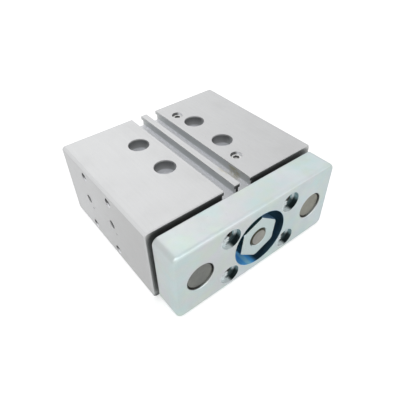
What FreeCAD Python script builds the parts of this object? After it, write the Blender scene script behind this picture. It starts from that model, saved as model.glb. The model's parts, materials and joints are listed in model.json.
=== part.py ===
import FreeCAD, Part
import os
import Sketcher

# Guided pneumatic cylinder, 20 mm bore, 20 mm stroke, plain-bearing guide, shown retracted.
# X runs across the width, Y from the yoke plate towards the rear, Z up. The origin is the centre of
# the four mounting holes on the underside of the housing. All sizes are in millimetres.

Vector = FreeCAD.Vector
doc = FreeCAD.newDocument("guided_cylinder")
sheet = doc.addObject("Spreadsheet::Sheet", "sizes")

# Driving dimensions: alias, value, meaning
DRIVING = [
    ("stroke", 20.0, "travel of the yoke plate"),
    ("edge_radius", 1.6, "long edges of the extrusion"),
    ("end_chamfer", 0.4, "chamfer round the two end faces"),
    ("side_wall", 4.5, "housing wall beside the guide bores"),
    ("pattern_setback", 36.25, "front face to the centre of the mounting holes"),
    ("cylinder_bore", 20.0, "bore in which the piston runs"),
    ("seat_step", 1.0, "cap seats wider than the cylinder bore, per side"),
    ("guide_spacing", 58.0, "distance between the guide rods"),
    ("guide_dia", 12.0, "guide rods"),
    ("bush_wall", 2.0, "wall of the guide bushes"),
    ("slot_wall", 1.0, "wall between a sensor slot and the circlip grooves"),
    ("slot_web", 1.2, "web between the two sensor slots"),
    ("slot_width", 6.8, "width of a sensor slot under its lips"),
    ("slot_shelf", 0.8, "overhang of a slot lip"),
    ("slot_depth", 5.3, "depth of a sensor slot"),
    ("slot_lip", 1.9, "thickness of the slot lips"),
    ("mount_x", 30.0, "mounting holes across X"),
    ("mount_y", 20.0, "mounting holes along Y"),
    ("mount_hole", 5.1, "mounting holes, clear for M5 screws"),
    ("base_thread", 6.0, "M6 threads at the lower ends of the mounting holes"),
    ("base_thread_depth", 12.0, "depth of those threads"),
    ("mount_sink", 9.2, "counterbore of the mounting holes"),
    ("mount_sink_depth", 6.2, "depth of that counterbore"),
    ("port_offset", 1.2, "ports outside the cap seats"),
    ("port_front_inset", 2.5, "front port ahead of the chamber's front end"),
    ("port_rear_inset", 3.8, "rear port behind the chamber's rear end"),
    ("port_core", 4.2, "drilled air passages behind the ports"),
    ("port_thread", 5.0, "M5 threads of the ports"),
    ("port_overrun", 2.0, "top ports drilled below the cylinder axis"),
    ("port_wall", 0.3, "side ports below the port plugs"),
    ("side_port_depth", 8.0, "tapped depth of the side ports"),
    ("side_y", 20.0, "side threads along Y"),
    ("side_margin", 4.6, "side threads inside the top and bottom faces"),
    ("left_shift", 0.6, "left side threads behind the mounting pattern"),
    ("right_shift", 0.0, "right side threads behind the mounting pattern"),
    ("side_thread", 4.0, "M4 side threads"),
    ("side_depth", 9.0, "depth of the side threads"),
    ("side_mouth", 0.15, "countersink of the side threads"),
    ("thread_mouth", 0.4, "countersink of the other threaded holes"),
    ("locator", 4.0, "locating holes in the sides"),
    ("locator_depth", 2.4, "depth of the locating holes"),
    ("locator_rise", 1.3, "locating holes above the rod axes"),
    ("locator_shift", 1.2, "locating holes behind the mounting pattern"),
    ("dimple", 1.0, "small drilled marks beside the locating holes"),
    ("dimple_depth", 0.6, "depth of the marks"),
    ("dimple_back", 2.9, "marks ahead of the locating holes"),
    ("dimple_drop", 3.4, "marks below the locating holes"),
    ("ring_thickness", 1.0, "thickness of the circlips"),
    ("ring_play", 0.1, "axial play of a circlip in its groove"),
    ("ring_setback", 1.4, "end face to the circlip groove"),
    ("ring_bite", 0.7, "depth of the circlip grooves"),
    ("ring_shoulder", 1.3, "circlips inside the seat bore"),
    ("ring_lug", 3.6, "lugs of the circlips"),
    ("ring_eye", 1.6, "plier holes of the circlips"),
    ("ring_gap", 6.0, "gap between the circlip lugs"),
    ("rod_dia", 10.0, "piston rod"),
    ("thread_shoulder", 1.0, "step from the rod to its front thread"),
    ("stud_shoulder", 2.0, "step from the rod to its rear stud"),
    ("rod_recess", 0.8, "rod end behind the plate's front face"),
    ("rod_break", 0.3, "chamfer on the rod's front end"),
    ("guide_recess", 0.8, "guide rod ends behind the plate's front face"),
    ("guide_reach", 3.5, "guide rod ends ahead of the housing's rear face"),
    ("end_break", 0.6, "chamfer on the other rod ends and the bushes"),
    ("bush_length", 14.0, "guide bushes"),
    ("bush_front", 3.5, "front guide bushes behind the front face"),
    ("bush_interval", 11.0, "gap between a front and a rear guide bush"),
    ("wiper_length", 2.6, "guide wipers"),
    ("wiper_setback", 0.7, "guide wipers behind the front face"),
    ("wiper_lip", 1.0, "length of a wiper's lip"),
    ("plate_side_inset", 1.25, "yoke plate inside the housing's sides"),
    ("plate_top_inset", 1.0, "yoke plate inside the housing's top and underside"),
    ("plate_gap", 1.9, "yoke plate ahead of the housing when retracted"),
    ("plate_corner", 3.0, "corner radius of the yoke plate"),
    ("plate_front_edge", 1.5, "rounded front outline of the plate"),
    ("plate_rear_edge", 0.8, "rounded rear outline of the plate"),
    ("plate_web", 4.0, "plate left behind the centre bore"),
    ("plate_holes_x", 30.4, "tool holes across X"),
    ("plate_holes_z", 20.2, "tool holes across Z"),
    ("plate_thread", 5.0, "M5 threads of the tool holes"),
    ("plate_sink", 9.0, "locating counterbore of the tool holes"),
    ("plate_sink_depth", 2.1, "depth of that counterbore"),
    ("nut_wall", 4.5, "rod nut outside its thread, at the flats"),
    ("nut_height", 7.5, "rod nut"),
    ("nut_room", 3.0, "room round the rod nut's corners"),
    ("nut_sunk", 1.0, "rod nut behind the plate's front face"),
    ("nut_turn", 23.0, "rod nut corners turned from the X axis, degrees"),
    ("nut_break", 0.45, "chamfer of the nuts' threads"),
    ("nut_crown_step", 1.9, "turned faces of the rod nut wider than its flats"),
    ("nut_slope", 0.25, "height lost at the nuts' corners"),
    ("piston_gap", 0.25, "piston lands inside the cylinder bore"),
    ("bumper", 1.5, "thickness of the piston bumpers"),
    ("bumper_wall", 2.2, "radial width of the bumpers"),
    ("stop_gap", 0.2, "space left at each end of the travel"),
    ("seal_width", 2.2, "piston seal grooves"),
    ("seal_section", 2.1, "depth of the piston seals"),
    ("land", 1.0, "outer lands of the piston"),
    ("web", 0.5, "inner lands of the piston"),
    ("middle_land", 0.3, "land between the magnet and the wear ring"),
    ("magnet_width", 2.6, "magnet ring"),
    ("magnet_section", 2.5, "seat of the magnet ring below the cylinder bore"),
    ("wear_width", 1.8, "wear ring"),
    ("wear_section", 1.1, "thickness of the wear ring"),
    ("piston_nut_wall", 2.0, "piston nut outside its thread, at the flats"),
    ("piston_nut_height", 4.4, "piston nut"),
    ("piston_nut_room", 0.8, "room round and behind the piston nut"),
    ("stud_tip", 0.6, "stud beyond the piston nut"),
    ("cap_ring", 1.5, "section of the cap O-rings"),
    ("cap_ring_groove", 1.9, "width of the cap O-ring grooves"),
    ("cap_ring_front", 5.4, "front cap face to its O-ring groove"),
    ("cap_ring_rear", 2.0, "rear cap face to its O-ring groove"),
    ("rear_floor", 6.2, "rear cap behind its nut recess"),
    ("air_groove", 2.5, "width of the air grooves round the caps"),
    ("air_depth", 1.7, "depth of the air grooves"),
    ("air_hole", 2.2, "cross holes of the air grooves"),
    ("front_recess_step", 1.2, "air recess in the front cap outside the rod bush"),
    ("front_recess_depth", 4.0, "depth of that recess"),
    ("cap_break", 0.3, "chamfer of the cap faces"),
    ("rod_play", 0.4, "front cap's hole round the rod, per side"),
    ("rod_seal_section", 2.8, "depth of the rod seal"),
    ("rod_seal_width", 3.0, "groove of the rod seal, axial"),
    ("rod_seal_front", 1.3, "front cap face to the rod seal groove"),
    ("rod_seal_land", 0.3, "land between the rod seal and the rod bush"),
    ("rod_bush_wall", 1.0, "wall of the rod bush"),
    ("rod_bush_length", 5.4, "rod bush"),
    ("plug_length", 3.4, "port plugs"),
    ("plug_socket", 2.5, "hexagon socket of the port plugs"),
    ("plug_socket_depth", 1.0, "depth of that socket"),
    ("plug_sunk", 1.1, "port plugs below the top face"),
    ("plug_break", 0.4, "chamfer of the port plugs"),
    ("plug_play", 0.1, "port threads deeper than the port plugs"),
    ("running_fit", 0.04, "radial clearance of what slides"),
    ("seated_fit", 0.02, "radial clearance of what is pressed or screwed in"),
]
for row, (alias, number, meaning) in enumerate(DRIVING, start=1):
    sheet.set("A%d" % row, meaning)
    sheet.set("B%d" % row, str(number))
    sheet.setAlias("B%d" % row, alias)
doc.recompute()

# Sizes that follow from the driving ones
DERIVED = {
    "seat_bore": "cylinder_bore + 2 * seat_step",
    "ring_groove": "seat_bore + 2 * ring_bite",
    "ring_inner": "seat_bore - 2 * ring_shoulder",
    "guide_bore": "guide_dia + 2 * bush_wall",
    "housing_width": "guide_spacing + guide_bore + 2 * side_wall",
    "housing_height": "ring_groove + 2 * slot_wall + 2 * slot_depth",
    "axis_height": "housing_height / 2",
    "slot_pitch": "slot_width + slot_web",
    "slot_mouth": "slot_width - 2 * slot_shelf",
    "rod_thread": "rod_dia - 2 * thread_shoulder",
    "rod_stud": "rod_dia - 2 * stud_shoulder",
    "nut_flats": "rod_thread + 2 * nut_wall",
    "piston_nut_flats": "rod_stud + 2 * piston_nut_wall",
    "rod_seal_floor": "rod_dia + 2 * rod_seal_section",
    "rod_bush_outer": "rod_dia + 2 * rod_bush_wall",
    "front_recess": "rod_bush_outer + 2 * front_recess_step",
    "rear_recess": "piston_nut_flats / cos(30) + 2 * piston_nut_room",
    "rear_recess_depth": "piston_nut_height + stud_tip + piston_nut_room",
    "air_floor": "seat_bore - 2 * air_depth",
    "cap_setback": "ring_setback + ring_play + ring_thickness",
    "front_bearing": "rod_seal_front + rod_seal_width + rod_seal_land + rod_bush_length",
    "front_seat": "cap_setback + front_bearing + front_recess_depth",
    "rear_seat": "cap_setback + rear_floor + rear_recess_depth",
    "piston_rings": "2 * seal_width + magnet_width + wear_width",
    "piston_length": "piston_rings + 2 * land + 2 * web + middle_land",
    "housing_length": "front_seat + stroke + piston_length + 2 * bumper + 2 * stop_gap + rear_seat",
    "port_x": "seat_bore / 2 + port_offset",
    "port_bore": "port_thread + 2 * seated_fit",
    "port_thread_depth": "plug_sunk + plug_length + plug_play",
    "port_floor": "axis_height - port_overrun",
    "side_port_drop": "port_thread_depth + port_wall + port_core / 2",
    "side_port_height": "housing_height - side_port_drop",
    "side_z": "housing_height - 2 * side_margin",
    "locator_height": "axis_height + locator_rise",
    "plate_width": "housing_width - 2 * plate_side_inset",
    "plate_height": "housing_height - 2 * plate_top_inset",
    "plate_thickness": "plate_web + nut_height + nut_sunk",
    "plate_bore": "nut_flats / cos(30) + 2 * nut_room",
    "nut_crown": "nut_flats + nut_crown_step",
    "piston_dia": "cylinder_bore - 2 * piston_gap",
    "seal_floor": "cylinder_bore - 2 * seal_section",
    "magnet_floor": "cylinder_bore - 2 * magnet_section",
    "wear_floor": "cylinder_bore - 2 * wear_section",
    "bumper_outer": "rear_recess + 2 * bumper_wall",
}

ALIASES = {alias for alias, number, meaning in DRIVING}
PLANE_OF = {"front": "XZ_Plane", "top": "XY_Plane", "side": "YZ_Plane"}


def spelled(word):
    """One word of an expression, with the sheet named before an alias and a derived size written out."""
    if word in ALIASES:
        return "sizes." + word
    if word in DERIVED:
        return "(" + size(DERIVED[word]) + ")"
    return word


def size(text):
    """An expression in the names above, turned into one that the document understands."""
    words = []
    word = ""
    for mark in text + " ":
        if mark.isalnum() or mark == "_":
            word += mark
            continue
        words.append(spelled(word))
        words.append(mark)
        word = ""
    return "".join(words).strip()


# Places along Y that several pieces share
FRONT = "(-pattern_setback)"
REAR = "(housing_length - pattern_setback)"
FRONT_CAP = f"({FRONT} + cap_setback)"
CHAMBER_FRONT = f"({FRONT} + front_seat)"
CHAMBER_REAR = f"({REAR} - rear_seat)"
REAR_CAP = f"({REAR} - cap_setback)"
PLATE_REAR = f"({FRONT} - plate_gap)"
PLATE_FRONT = f"({PLATE_REAR} - plate_thickness)"
WEB_FRONT = f"({PLATE_REAR} - plate_web)"
FRONT_PORT = f"({CHAMBER_FRONT} - port_front_inset)"
REAR_PORT = f"({CHAMBER_REAR} + port_rear_inset)"
PISTON_FRONT = f"({CHAMBER_FRONT} + stroke + stop_gap + bumper)"
PISTON_REAR = f"({CHAMBER_REAR} - stop_gap - bumper)"
FRONT_GROOVE = f"({PISTON_FRONT} + land)"
MAGNET_SEAT = f"({FRONT_GROOVE} + seal_width + web)"
PISTON_SPLIT = f"({MAGNET_SEAT} + magnet_width)"
REAR_GROOVE = f"({PISTON_REAR} - land - seal_width)"
WEAR_SEAT = f"({REAR_GROOVE} - web - wear_width)"


def value(text):
    """The number that an expression has with the present sizes."""
    return float(sheet.evalExpression(size(text)))


def bind(thing, name, text):
    """Ties one property to an expression on the sheet."""
    thing.setExpression(name, size(text))


def new_body(label, x="0", y="0", z="0"):
    """An empty body that is named after its piece and placed by expressions."""
    body = doc.addObject("PartDesign::Body", label)
    body.Label = label
    for axis, text in (("x", x), ("y", y), ("z", z)):
        bind(body, "Placement.Base." + axis, text)
    return body


def new_sketch(body, name, view, offset="0"):
    """A sketch on one of the body's own planes, moved along that plane's normal."""
    plane = [f for f in body.Origin.OriginFeatures if f.Role == PLANE_OF[view]][0]
    sketch = body.newObject("Sketcher::SketchObject", name)
    sketch.AttachmentSupport = (plane, [""])
    sketch.MapMode = "FlatFace"
    bind(sketch, "AttachmentOffset.Base.z", offset)
    return sketch


def bind_point(sketch, geometry, end, corner):
    """Holds one point of a sketch at a corner that is given as two expressions."""
    for kind, text, axis in (("DistanceX", corner[0], -2), ("DistanceY", corner[1], -1)):
        if text == "0":
            sketch.addConstraint(Sketcher.Constraint("PointOnObject", geometry, end, axis))
            continue
        rule = Sketcher.Constraint(kind, -1, 1, geometry, end, value(text))
        index = sketch.addConstraint(rule)
        bind(sketch, "Constraints[%d]" % index, text)


def draw_polygon(sketch, corners):
    """A closed outline of straight lines through corners given as pairs of expressions."""
    points = [Vector(value(x), value(y), 0) for x, y in corners]
    lines = []
    for index, point in enumerate(points):
        end = points[(index + 1) % len(points)]
        lines.append(sketch.addGeometry(Part.LineSegment(point, end)))
    for index, line in enumerate(lines):
        following = lines[(index + 1) % len(lines)]
        sketch.addConstraint(Sketcher.Constraint("Coincident", line, 2, following, 1))
    for line, corner in zip(lines, corners):
        bind_point(sketch, line, 1, corner)


def draw_circle(sketch, centre, diameter):
    """A circle with its centre and diameter given as expressions."""
    middle = Vector(value(centre[0]), value(centre[1]), 0)
    circle = Part.Circle(middle, Vector(0, 0, 1), value(diameter) / 2)
    geometry = sketch.addGeometry(circle)
    bind_point(sketch, geometry, 3, centre)
    index = sketch.addConstraint(Sketcher.Constraint("Diameter", geometry, value(diameter)))
    bind(sketch, "Constraints[%d]" % index, diameter)


def box_corners(x0, y0, x1, y1):
    """The four corners of an upright rectangle."""
    return [(x0, y0), (x1, y0), (x1, y1), (x0, y1)]


def hexagon(flats, turn):
    """The six corners of a hexagon, from its width across flats and its turn in degrees."""
    reach = f"{flats} / 2 / cos(30)"
    corners = []
    for step in range(6):
        angle = f"{turn} + {60 * step}"
        corners.append((f"{reach} * cos({angle})", f"{reach} * sin({angle})"))
    return corners


def add_pad(body, name, sketch, length):
    """A pad along the sketch's normal."""
    pad = body.newObject("PartDesign::Pad", name)
    pad.Profile = sketch
    bind(pad, "Length", length)
    doc.recompute()
    return pad


def removed(body, before, name):
    """Stops the build if a cut took nothing away."""
    doc.recompute()
    if body.Shape.Volume > before - 1e-6:
        raise RuntimeError(name + " cut nothing")


def add_pocket(body, name, sketch, depth=None, along_normal=False):
    """A pocket against the sketch's normal, or along it; without a depth it goes right through."""
    before = body.Shape.Volume
    pocket = body.newObject("PartDesign::Pocket", name)
    pocket.Profile = sketch
    pocket.Reversed = along_normal
    if depth is None:
        pocket.Type = "ThroughAll"
    else:
        bind(pocket, "Length", depth)
    removed(body, before, name)
    return pocket


def add_groove(body, name, sketch, axis="V_Axis"):
    """A groove turned about one axis of the sketch."""
    before = body.Shape.Volume
    groove = body.newObject("PartDesign::Groove", name)
    groove.Profile = sketch
    groove.ReferenceAxis = (sketch, [axis])
    groove.Angle = 360
    removed(body, before, name)
    return groove


def edges_where(shape, test):
    """Names of a shape's edges that pass a test."""
    return ["Edge%d" % (index + 1) for index, edge in enumerate(shape.Edges) if test(edge)]


def rims(shape, axis, level, diameter):
    """Names of the round edges of one diameter that lie in one plane across an axis."""
    place = value(level)
    radius = value(diameter) / 2

    def is_rim(edge):
        box = edge.BoundBox
        ends = {"x": (box.XMin, box.XMax), "y": (box.YMin, box.YMax), "z": (box.ZMin, box.ZMax)}[axis]
        if not isinstance(edge.Curve, Part.Circle) or abs(edge.Curve.Radius - radius) > 1e-4:
            return False
        return max(abs(end - place) for end in ends) < 1e-4

    return edges_where(shape, is_rim)


def add_dressup(body, kind, name, base, edges, radius):
    """A fillet or a chamfer on the named edges."""
    dressup = body.newObject("PartDesign::" + kind, name)
    dressup.Base = (base, edges)
    bind(dressup, "Radius" if kind == "Fillet" else "Size", radius)
    doc.recompute()
    return dressup


def turned(label, profile, x="0", y="0", z="axis_height"):
    """A piece turned about the Y direction from a profile of (radius, y) corners."""
    body = new_body(label, x, y, z)
    sketch = new_sketch(body, label + "_profile", "top")
    draw_polygon(sketch, profile)
    revolution = body.newObject("PartDesign::Revolution", label + "_turned")
    revolution.Profile = sketch
    revolution.ReferenceAxis = (sketch, ["V_Axis"])
    revolution.Angle = 360
    doc.recompute()
    return body


def half(diameter, change=""):
    """Half of a diameter, with a clearance added or taken off."""
    return f"({diameter}) / 2 {change}".strip()


def four(x, y):
    """The four places of a rectangular hole pattern with the given spacings."""
    return [(f"{a}{x} / 2", f"{b}{y} / 2") for a in ("", "-") for b in ("", "-")]


def slot_section(sign):
    """Cross-section of one T-slot, open at the top of the housing."""
    middle = f"{sign}slot_pitch / 2"
    lip = "housing_height - slot_lip"
    floor = "housing_height - slot_depth"
    above = "housing_height + 1"
    wide_left = f"{middle} - slot_width / 2"
    wide_right = f"{middle} + slot_width / 2"
    left = f"{middle} - slot_mouth / 2"
    right = f"{middle} + slot_mouth / 2"
    return [(wide_left, floor), (wide_right, floor), (wide_right, lip), (right, lip),
            (right, above), (left, above), (left, lip), (wide_left, lip)]


def along_y(edge):
    """True for a straight edge that runs along Y."""
    box = edge.BoundBox
    return box.XLength < 1e-6 and box.ZLength < 1e-6 and box.YLength > 1e-3


def lies_at_y(edge, level):
    """True for an edge that lies in one plane across Y."""
    return max(abs(edge.BoundBox.YMin - level), abs(edge.BoundBox.YMax - level)) < 1e-6


def make_housing():
    """Extruded and machined housing with its slots, bores, seats, ports and threads."""
    body = new_body("housing")
    section = new_sketch(body, "housing_section", "front", f"-{REAR}")
    draw_polygon(section, box_corners("-housing_width / 2", "0", "housing_width / 2", "housing_height"))
    block = add_pad(body, "housing_block", section, "housing_length")
    long_edges = edges_where(block.Shape, along_y)
    rounded = add_dressup(body, "Fillet", "housing_edges", block, long_edges, "edge_radius")
    ends = edges_where(rounded.Shape, lambda edge: edge.BoundBox.YLength < 1e-6)
    add_dressup(body, "Chamfer", "housing_ends", rounded, ends, "end_chamfer")

    slots = new_sketch(body, "sensor_slot_section", "front", f"-{REAR}")
    for sign in ("-", ""):
        draw_polygon(slots, slot_section(sign))
    add_pocket(body, "sensor_slots", slots, along_normal=True)

    bores = new_sketch(body, "bore_section", "front", f"-{REAR}")
    draw_circle(bores, ("0", "axis_height"), "cylinder_bore")
    for sign in ("-", ""):
        draw_circle(bores, (f"{sign}guide_spacing / 2", "axis_height"), "guide_bore")
    add_pocket(body, "bores", bores, along_normal=True)

    seats = new_sketch(body, "seat_profile", "top", "axis_height")
    seat = half("seat_bore")
    deep = half("ring_groove")
    beyond = 1
    groove = "ring_thickness + ring_play"
    draw_polygon(seats, [
        ("0", f"{FRONT} - {beyond}"), (seat, f"{FRONT} - {beyond}"), (seat, f"{FRONT} + ring_setback"),
        (deep, f"{FRONT} + ring_setback"), (deep, f"{FRONT} + ring_setback + {groove}"),
        (seat, f"{FRONT} + ring_setback + {groove}"), (seat, CHAMBER_FRONT), ("0", CHAMBER_FRONT)])
    draw_polygon(seats, [
        ("0", f"{REAR} + {beyond}"), (seat, f"{REAR} + {beyond}"), (seat, f"{REAR} - ring_setback"),
        (deep, f"{REAR} - ring_setback"), (deep, f"{REAR} - ring_setback - ({groove})"),
        (seat, f"{REAR} - ring_setback - ({groove})"), (seat, CHAMBER_REAR), ("0", CHAMBER_REAR)])
    add_groove(body, "cap_seats", seats)

    mounts = new_sketch(body, "mounting_hole_places", "top", "housing_height")
    sinks = new_sketch(body, "mounting_sink_places", "top", "housing_height")
    for place in four("mount_x", "mount_y"):
        draw_circle(mounts, place, "mount_hole")
        draw_circle(sinks, place, "mount_sink")
    add_pocket(body, "mounting_holes", mounts)
    add_pocket(body, "mounting_sinks", sinks, "mount_sink_depth")

    base_threads = new_sketch(body, "base_thread_places", "top")
    for place in four("mount_x", "mount_y"):
        draw_circle(base_threads, place, "base_thread")
    add_pocket(body, "base_threads", base_threads, "base_thread_depth", along_normal=True)

    cores = new_sketch(body, "port_core_places", "top", "housing_height")
    threads = new_sketch(body, "port_thread_places", "top", "housing_height")
    side_cores = new_sketch(body, "side_port_core_places", "side", "housing_width / 2")
    side_ports = new_sketch(body, "side_port_places", "side", "housing_width / 2")
    for place in (FRONT_PORT, REAR_PORT):
        draw_circle(cores, ("port_x", place), "port_core")
        draw_circle(threads, ("port_x", place), "port_bore")
        draw_circle(side_cores, (place, "side_port_height"), "port_core")
        draw_circle(side_ports, (place, "side_port_height"), "port_bore")
    add_pocket(body, "port_cores", cores, "housing_height - port_floor")
    add_pocket(body, "port_threads", threads, "port_thread_depth")
    add_pocket(body, "side_port_cores", side_cores, "housing_width / 2 - port_x")
    add_pocket(body, "side_ports", side_ports, "side_port_depth")

    for side, sign, inward in (("left", "-", True), ("right", "", False)):
        face = f"{sign}housing_width / 2"
        drilled = new_sketch(body, side + "_thread_places", "side", face)
        for y, z in four("side_y", "side_z"):
            draw_circle(drilled, (f"{side}_shift + {y}", f"axis_height + {z}"), "side_thread")
        add_pocket(body, side + "_threads", drilled, "side_depth", along_normal=inward)
        located = new_sketch(body, side + "_locator_places", "side", face)
        marked = new_sketch(body, side + "_mark_places", "side", face)
        for y in ("side_y / 2", "-side_y / 2"):
            middle = f"locator_shift + {y}"
            draw_circle(located, (middle, "locator_height"), "locator")
            draw_circle(marked, (f"{middle} - dimple_back", "locator_height - dimple_drop"), "dimple")
        add_pocket(body, side + "_locators", located, "locator_depth", along_normal=inward)
        add_pocket(body, side + "_marks", marked, "dimple_depth", along_normal=inward)

    mouths = rims(body.Shape, "z", "0", "base_thread")
    mouths += rims(body.Shape, "x", "housing_width / 2", "port_bore")
    add_dressup(body, "Chamfer", "thread_mouths", body.Tip, mouths, "thread_mouth")
    side_mouths = []
    for sign in ("-", ""):
        side_mouths += rims(body.Shape, "x", f"{sign}housing_width / 2", "side_thread")
    add_dressup(body, "Chamfer", "side_thread_mouths", body.Tip, side_mouths, "side_mouth")
    return body


def make_cap(label, outer_end, inner_end, sign, o_ring, port, bore_steps):
    """End cap turned from outside to inside; sign is the direction of Y into the housing.

    o_ring is the distance from the outer face to the O-ring groove. bore_steps are the corners of
    the inner side, from the inner end back to the outer end.
    """
    edge = half("seat_bore", "- seated_fit")
    ring_floor = half("seat_bore", "- cap_ring")
    air_floor = half("air_floor")
    ring_start = f"{outer_end} {sign} {o_ring}"
    ring_end = f"{ring_start} {sign} cap_ring_groove"
    air_start = f"{port} {'-' if sign == '+' else '+'} air_groove / 2"
    air_end = f"{port} {sign} air_groove / 2"
    outside = [
        (f"{edge} - cap_break", outer_end), (edge, f"{outer_end} {sign} cap_break"),
        (edge, ring_start), (ring_floor, ring_start), (ring_floor, ring_end), (edge, ring_end),
        (edge, air_start), (air_floor, air_start), (air_floor, air_end), (edge, air_end),
        (edge, inner_end)]
    body = turned(label, outside + bore_steps)
    for view in ("top", "side"):
        cross = new_sketch(body, f"{label}_{view}_air_place", view, half("seat_bore"))
        place = ("0", port) if view == "top" else (port, "0")
        draw_circle(cross, place, "air_hole")
        add_pocket(body, f"{label}_{view}_air_holes", cross, "seat_bore")
    return body


def make_caps():
    """Front cap with its rod bush and seal grooves, and the closed rear cap."""
    rod_hole = half("rod_dia", "+ rod_play")
    seal_front = f"{FRONT_CAP} + rod_seal_front"
    seal_rear = f"{seal_front} + rod_seal_width"
    seal_floor = half("rod_seal_floor")
    bush_seat = half("rod_bush_outer")
    recess_floor = f"{CHAMBER_FRONT} - front_recess_depth"
    make_cap("front_cap", FRONT_CAP, CHAMBER_FRONT, "+", "cap_ring_front", FRONT_PORT, [
        (half("front_recess"), CHAMBER_FRONT), (half("front_recess"), recess_floor),
        (bush_seat, recess_floor), (bush_seat, seal_rear), (seal_floor, seal_rear),
        (seal_floor, seal_front), (rod_hole, seal_front), (rod_hole, FRONT_CAP)])
    nut_floor = f"{CHAMBER_REAR} + rear_recess_depth"
    make_cap("rear_cap", REAR_CAP, CHAMBER_REAR, "-", "cap_ring_rear", REAR_PORT, [
        (half("rear_recess"), CHAMBER_REAR), (half("rear_recess"), nut_floor), ("0", nut_floor),
        ("0", REAR_CAP)])


def make_o_ring(label, middle):
    """O-ring squeezed between a cap's groove and the seat bore, with its centre plane at the given Y."""
    centre = "(seat_bore / 2 - cap_ring / 2)"
    reach = "(cap_ring / 2 - seated_fit)"
    flat = f"{reach} * tan(22.5)"
    turned(label, [
        (f"{centre} + {reach}", f"{middle} - {flat}"), (f"{centre} + {reach}", f"{middle} + {flat}"),
        (f"{centre} + {flat}", f"{middle} + {reach}"), (f"{centre} - {flat}", f"{middle} + {reach}"),
        (f"{centre} - {reach}", f"{middle} + {flat}"), (f"{centre} - {reach}", f"{middle} - {flat}"),
        (f"{centre} - {flat}", f"{middle} - {reach}"), (f"{centre} + {flat}", f"{middle} - {reach}")])


def make_circlip(label, rear_face):
    """Internal retaining ring with two pierced lugs beside its gap, which faces down."""
    body = new_body(label, z="axis_height")
    band = new_sketch(body, label + "_band_section", "front", f"-({rear_face})")
    draw_circle(band, ("0", "0"), "ring_groove - 2 * seated_fit")
    draw_circle(band, ("0", "0"), "ring_inner")
    add_pad(body, label + "_band", band, "ring_thickness")
    lugs = new_sketch(body, label + "_lug_section", "front", f"-({rear_face})")
    lug_side = "(ring_gap + ring_lug) / 2"
    lug_reach = "(seat_bore / 2 - ring_lug / 2 - seated_fit)"
    lug_height = f"-sqrt({lug_reach} ^ 2 - ({lug_side}) ^ 2)"
    for sign in ("-", ""):
        draw_circle(lugs, (f"{sign}{lug_side}", lug_height), "ring_lug")
    add_pad(body, label + "_lugs", lugs, "ring_thickness")
    opening = new_sketch(body, label + "_opening", "front", f"-({rear_face})")
    draw_polygon(opening, box_corners("-ring_gap / 2", "-ring_groove", "ring_gap / 2", "-ring_inner / 4"))
    for sign in ("-", ""):
        draw_circle(opening, (f"{sign}{lug_side}", lug_height), "ring_eye")
    add_pocket(body, label + "_cuts", opening, along_normal=True)
    return body


def make_rod_seal():
    """Rod seal: a U-cup whose two lips face the pressure."""
    front = f"{FRONT_CAP} + rod_seal_front + seated_fit"
    rear = f"{FRONT_CAP} + rod_seal_front + rod_seal_width - seated_fit"
    inner = half("rod_dia", "+ running_fit")
    outer = half("rod_seal_floor", "- seated_fit")
    middle = "(rod_dia + rod_seal_floor) / 4"
    notch = "rod_seal_width / 2"
    turned("rod_seal", [
        (inner, front), (outer, front), (outer, rear), (f"{outer} - rod_seal_width / 6", rear),
        (middle, f"{rear} - {notch}"), (f"{inner} + rod_seal_width / 6", rear), (inner, rear)])


def ring(label, inner, outer, start, end, x="0"):
    """A plain turned ring between two radii and two places along Y."""
    return turned(label, [(inner, start), (outer, start), (outer, end), (inner, end)], x)


def make_guides():
    """Guide bushes, wipers and rods, alike on both sides."""
    inner = half("guide_dia", "+ running_fit")
    outer = half("guide_bore", "- seated_fit")
    for side, sign in (("left", "-"), ("right", "")):
        x = f"{sign}guide_spacing / 2"
        for place, start in (("front", "bush_front"), ("rear", "bush_front + bush_length + bush_interval")):
            begin = f"{FRONT} + {start}"
            end = f"{begin} + bush_length"
            turned(f"{side}_{place}_guide_bush", [
                (inner, begin), (f"{outer} - end_break", begin), (outer, f"{begin} + end_break"),
                (outer, f"{end} - end_break"), (f"{outer} - end_break", end), (inner, end)], x)
        front = f"{FRONT} + wiper_setback"
        wiper_rear = f"{front} + wiper_length"
        turned(f"{side}_guide_wiper", [
            (inner, front), (f"{inner} + wiper_lip / 2", front),
            (f"{inner} + wiper_lip", f"{front} + wiper_lip"), (outer, f"{front} + wiper_lip"),
            (outer, wiper_rear), (f"{inner} + wiper_lip", wiper_rear),
            (inner, f"{front} + wiper_lip")], x)
        rod_front = f"{PLATE_FRONT} + guide_recess"
        rod_rear = f"{REAR} - guide_reach"
        skin = half("guide_dia")
        turned(f"{side}_guide_rod", [
            ("0", rod_front), (f"{skin} - end_break", rod_front), (skin, f"{rod_front} + end_break"),
            (skin, f"{rod_rear} - end_break"), (f"{skin} - end_break", rod_rear),
            ("0", rod_rear)], x)


def make_port_plug(label, place):
    """Socket set screw that closes a top port."""
    body = new_body(label, "port_x", place, "housing_height - plug_sunk - plug_length")
    profile = new_sketch(body, label + "_profile", "front")
    skin = half("port_thread")
    draw_polygon(profile, [
        ("0", "0"), (f"{skin} - plug_break", "0"), (skin, "plug_break"),
        (skin, "plug_length - plug_break"), (f"{skin} - plug_break", "plug_length"),
        ("0", "plug_length")])
    turn = body.newObject("PartDesign::Revolution", label + "_turned")
    turn.Profile = profile
    turn.ReferenceAxis = (profile, ["V_Axis"])
    turn.Angle = 360
    doc.recompute()
    socket = new_sketch(body, label + "_socket_section", "top", "plug_length")
    draw_polygon(socket, hexagon("plug_socket", "0"))
    add_pocket(body, label + "_socket", socket, "plug_socket_depth")
    return body


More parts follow.
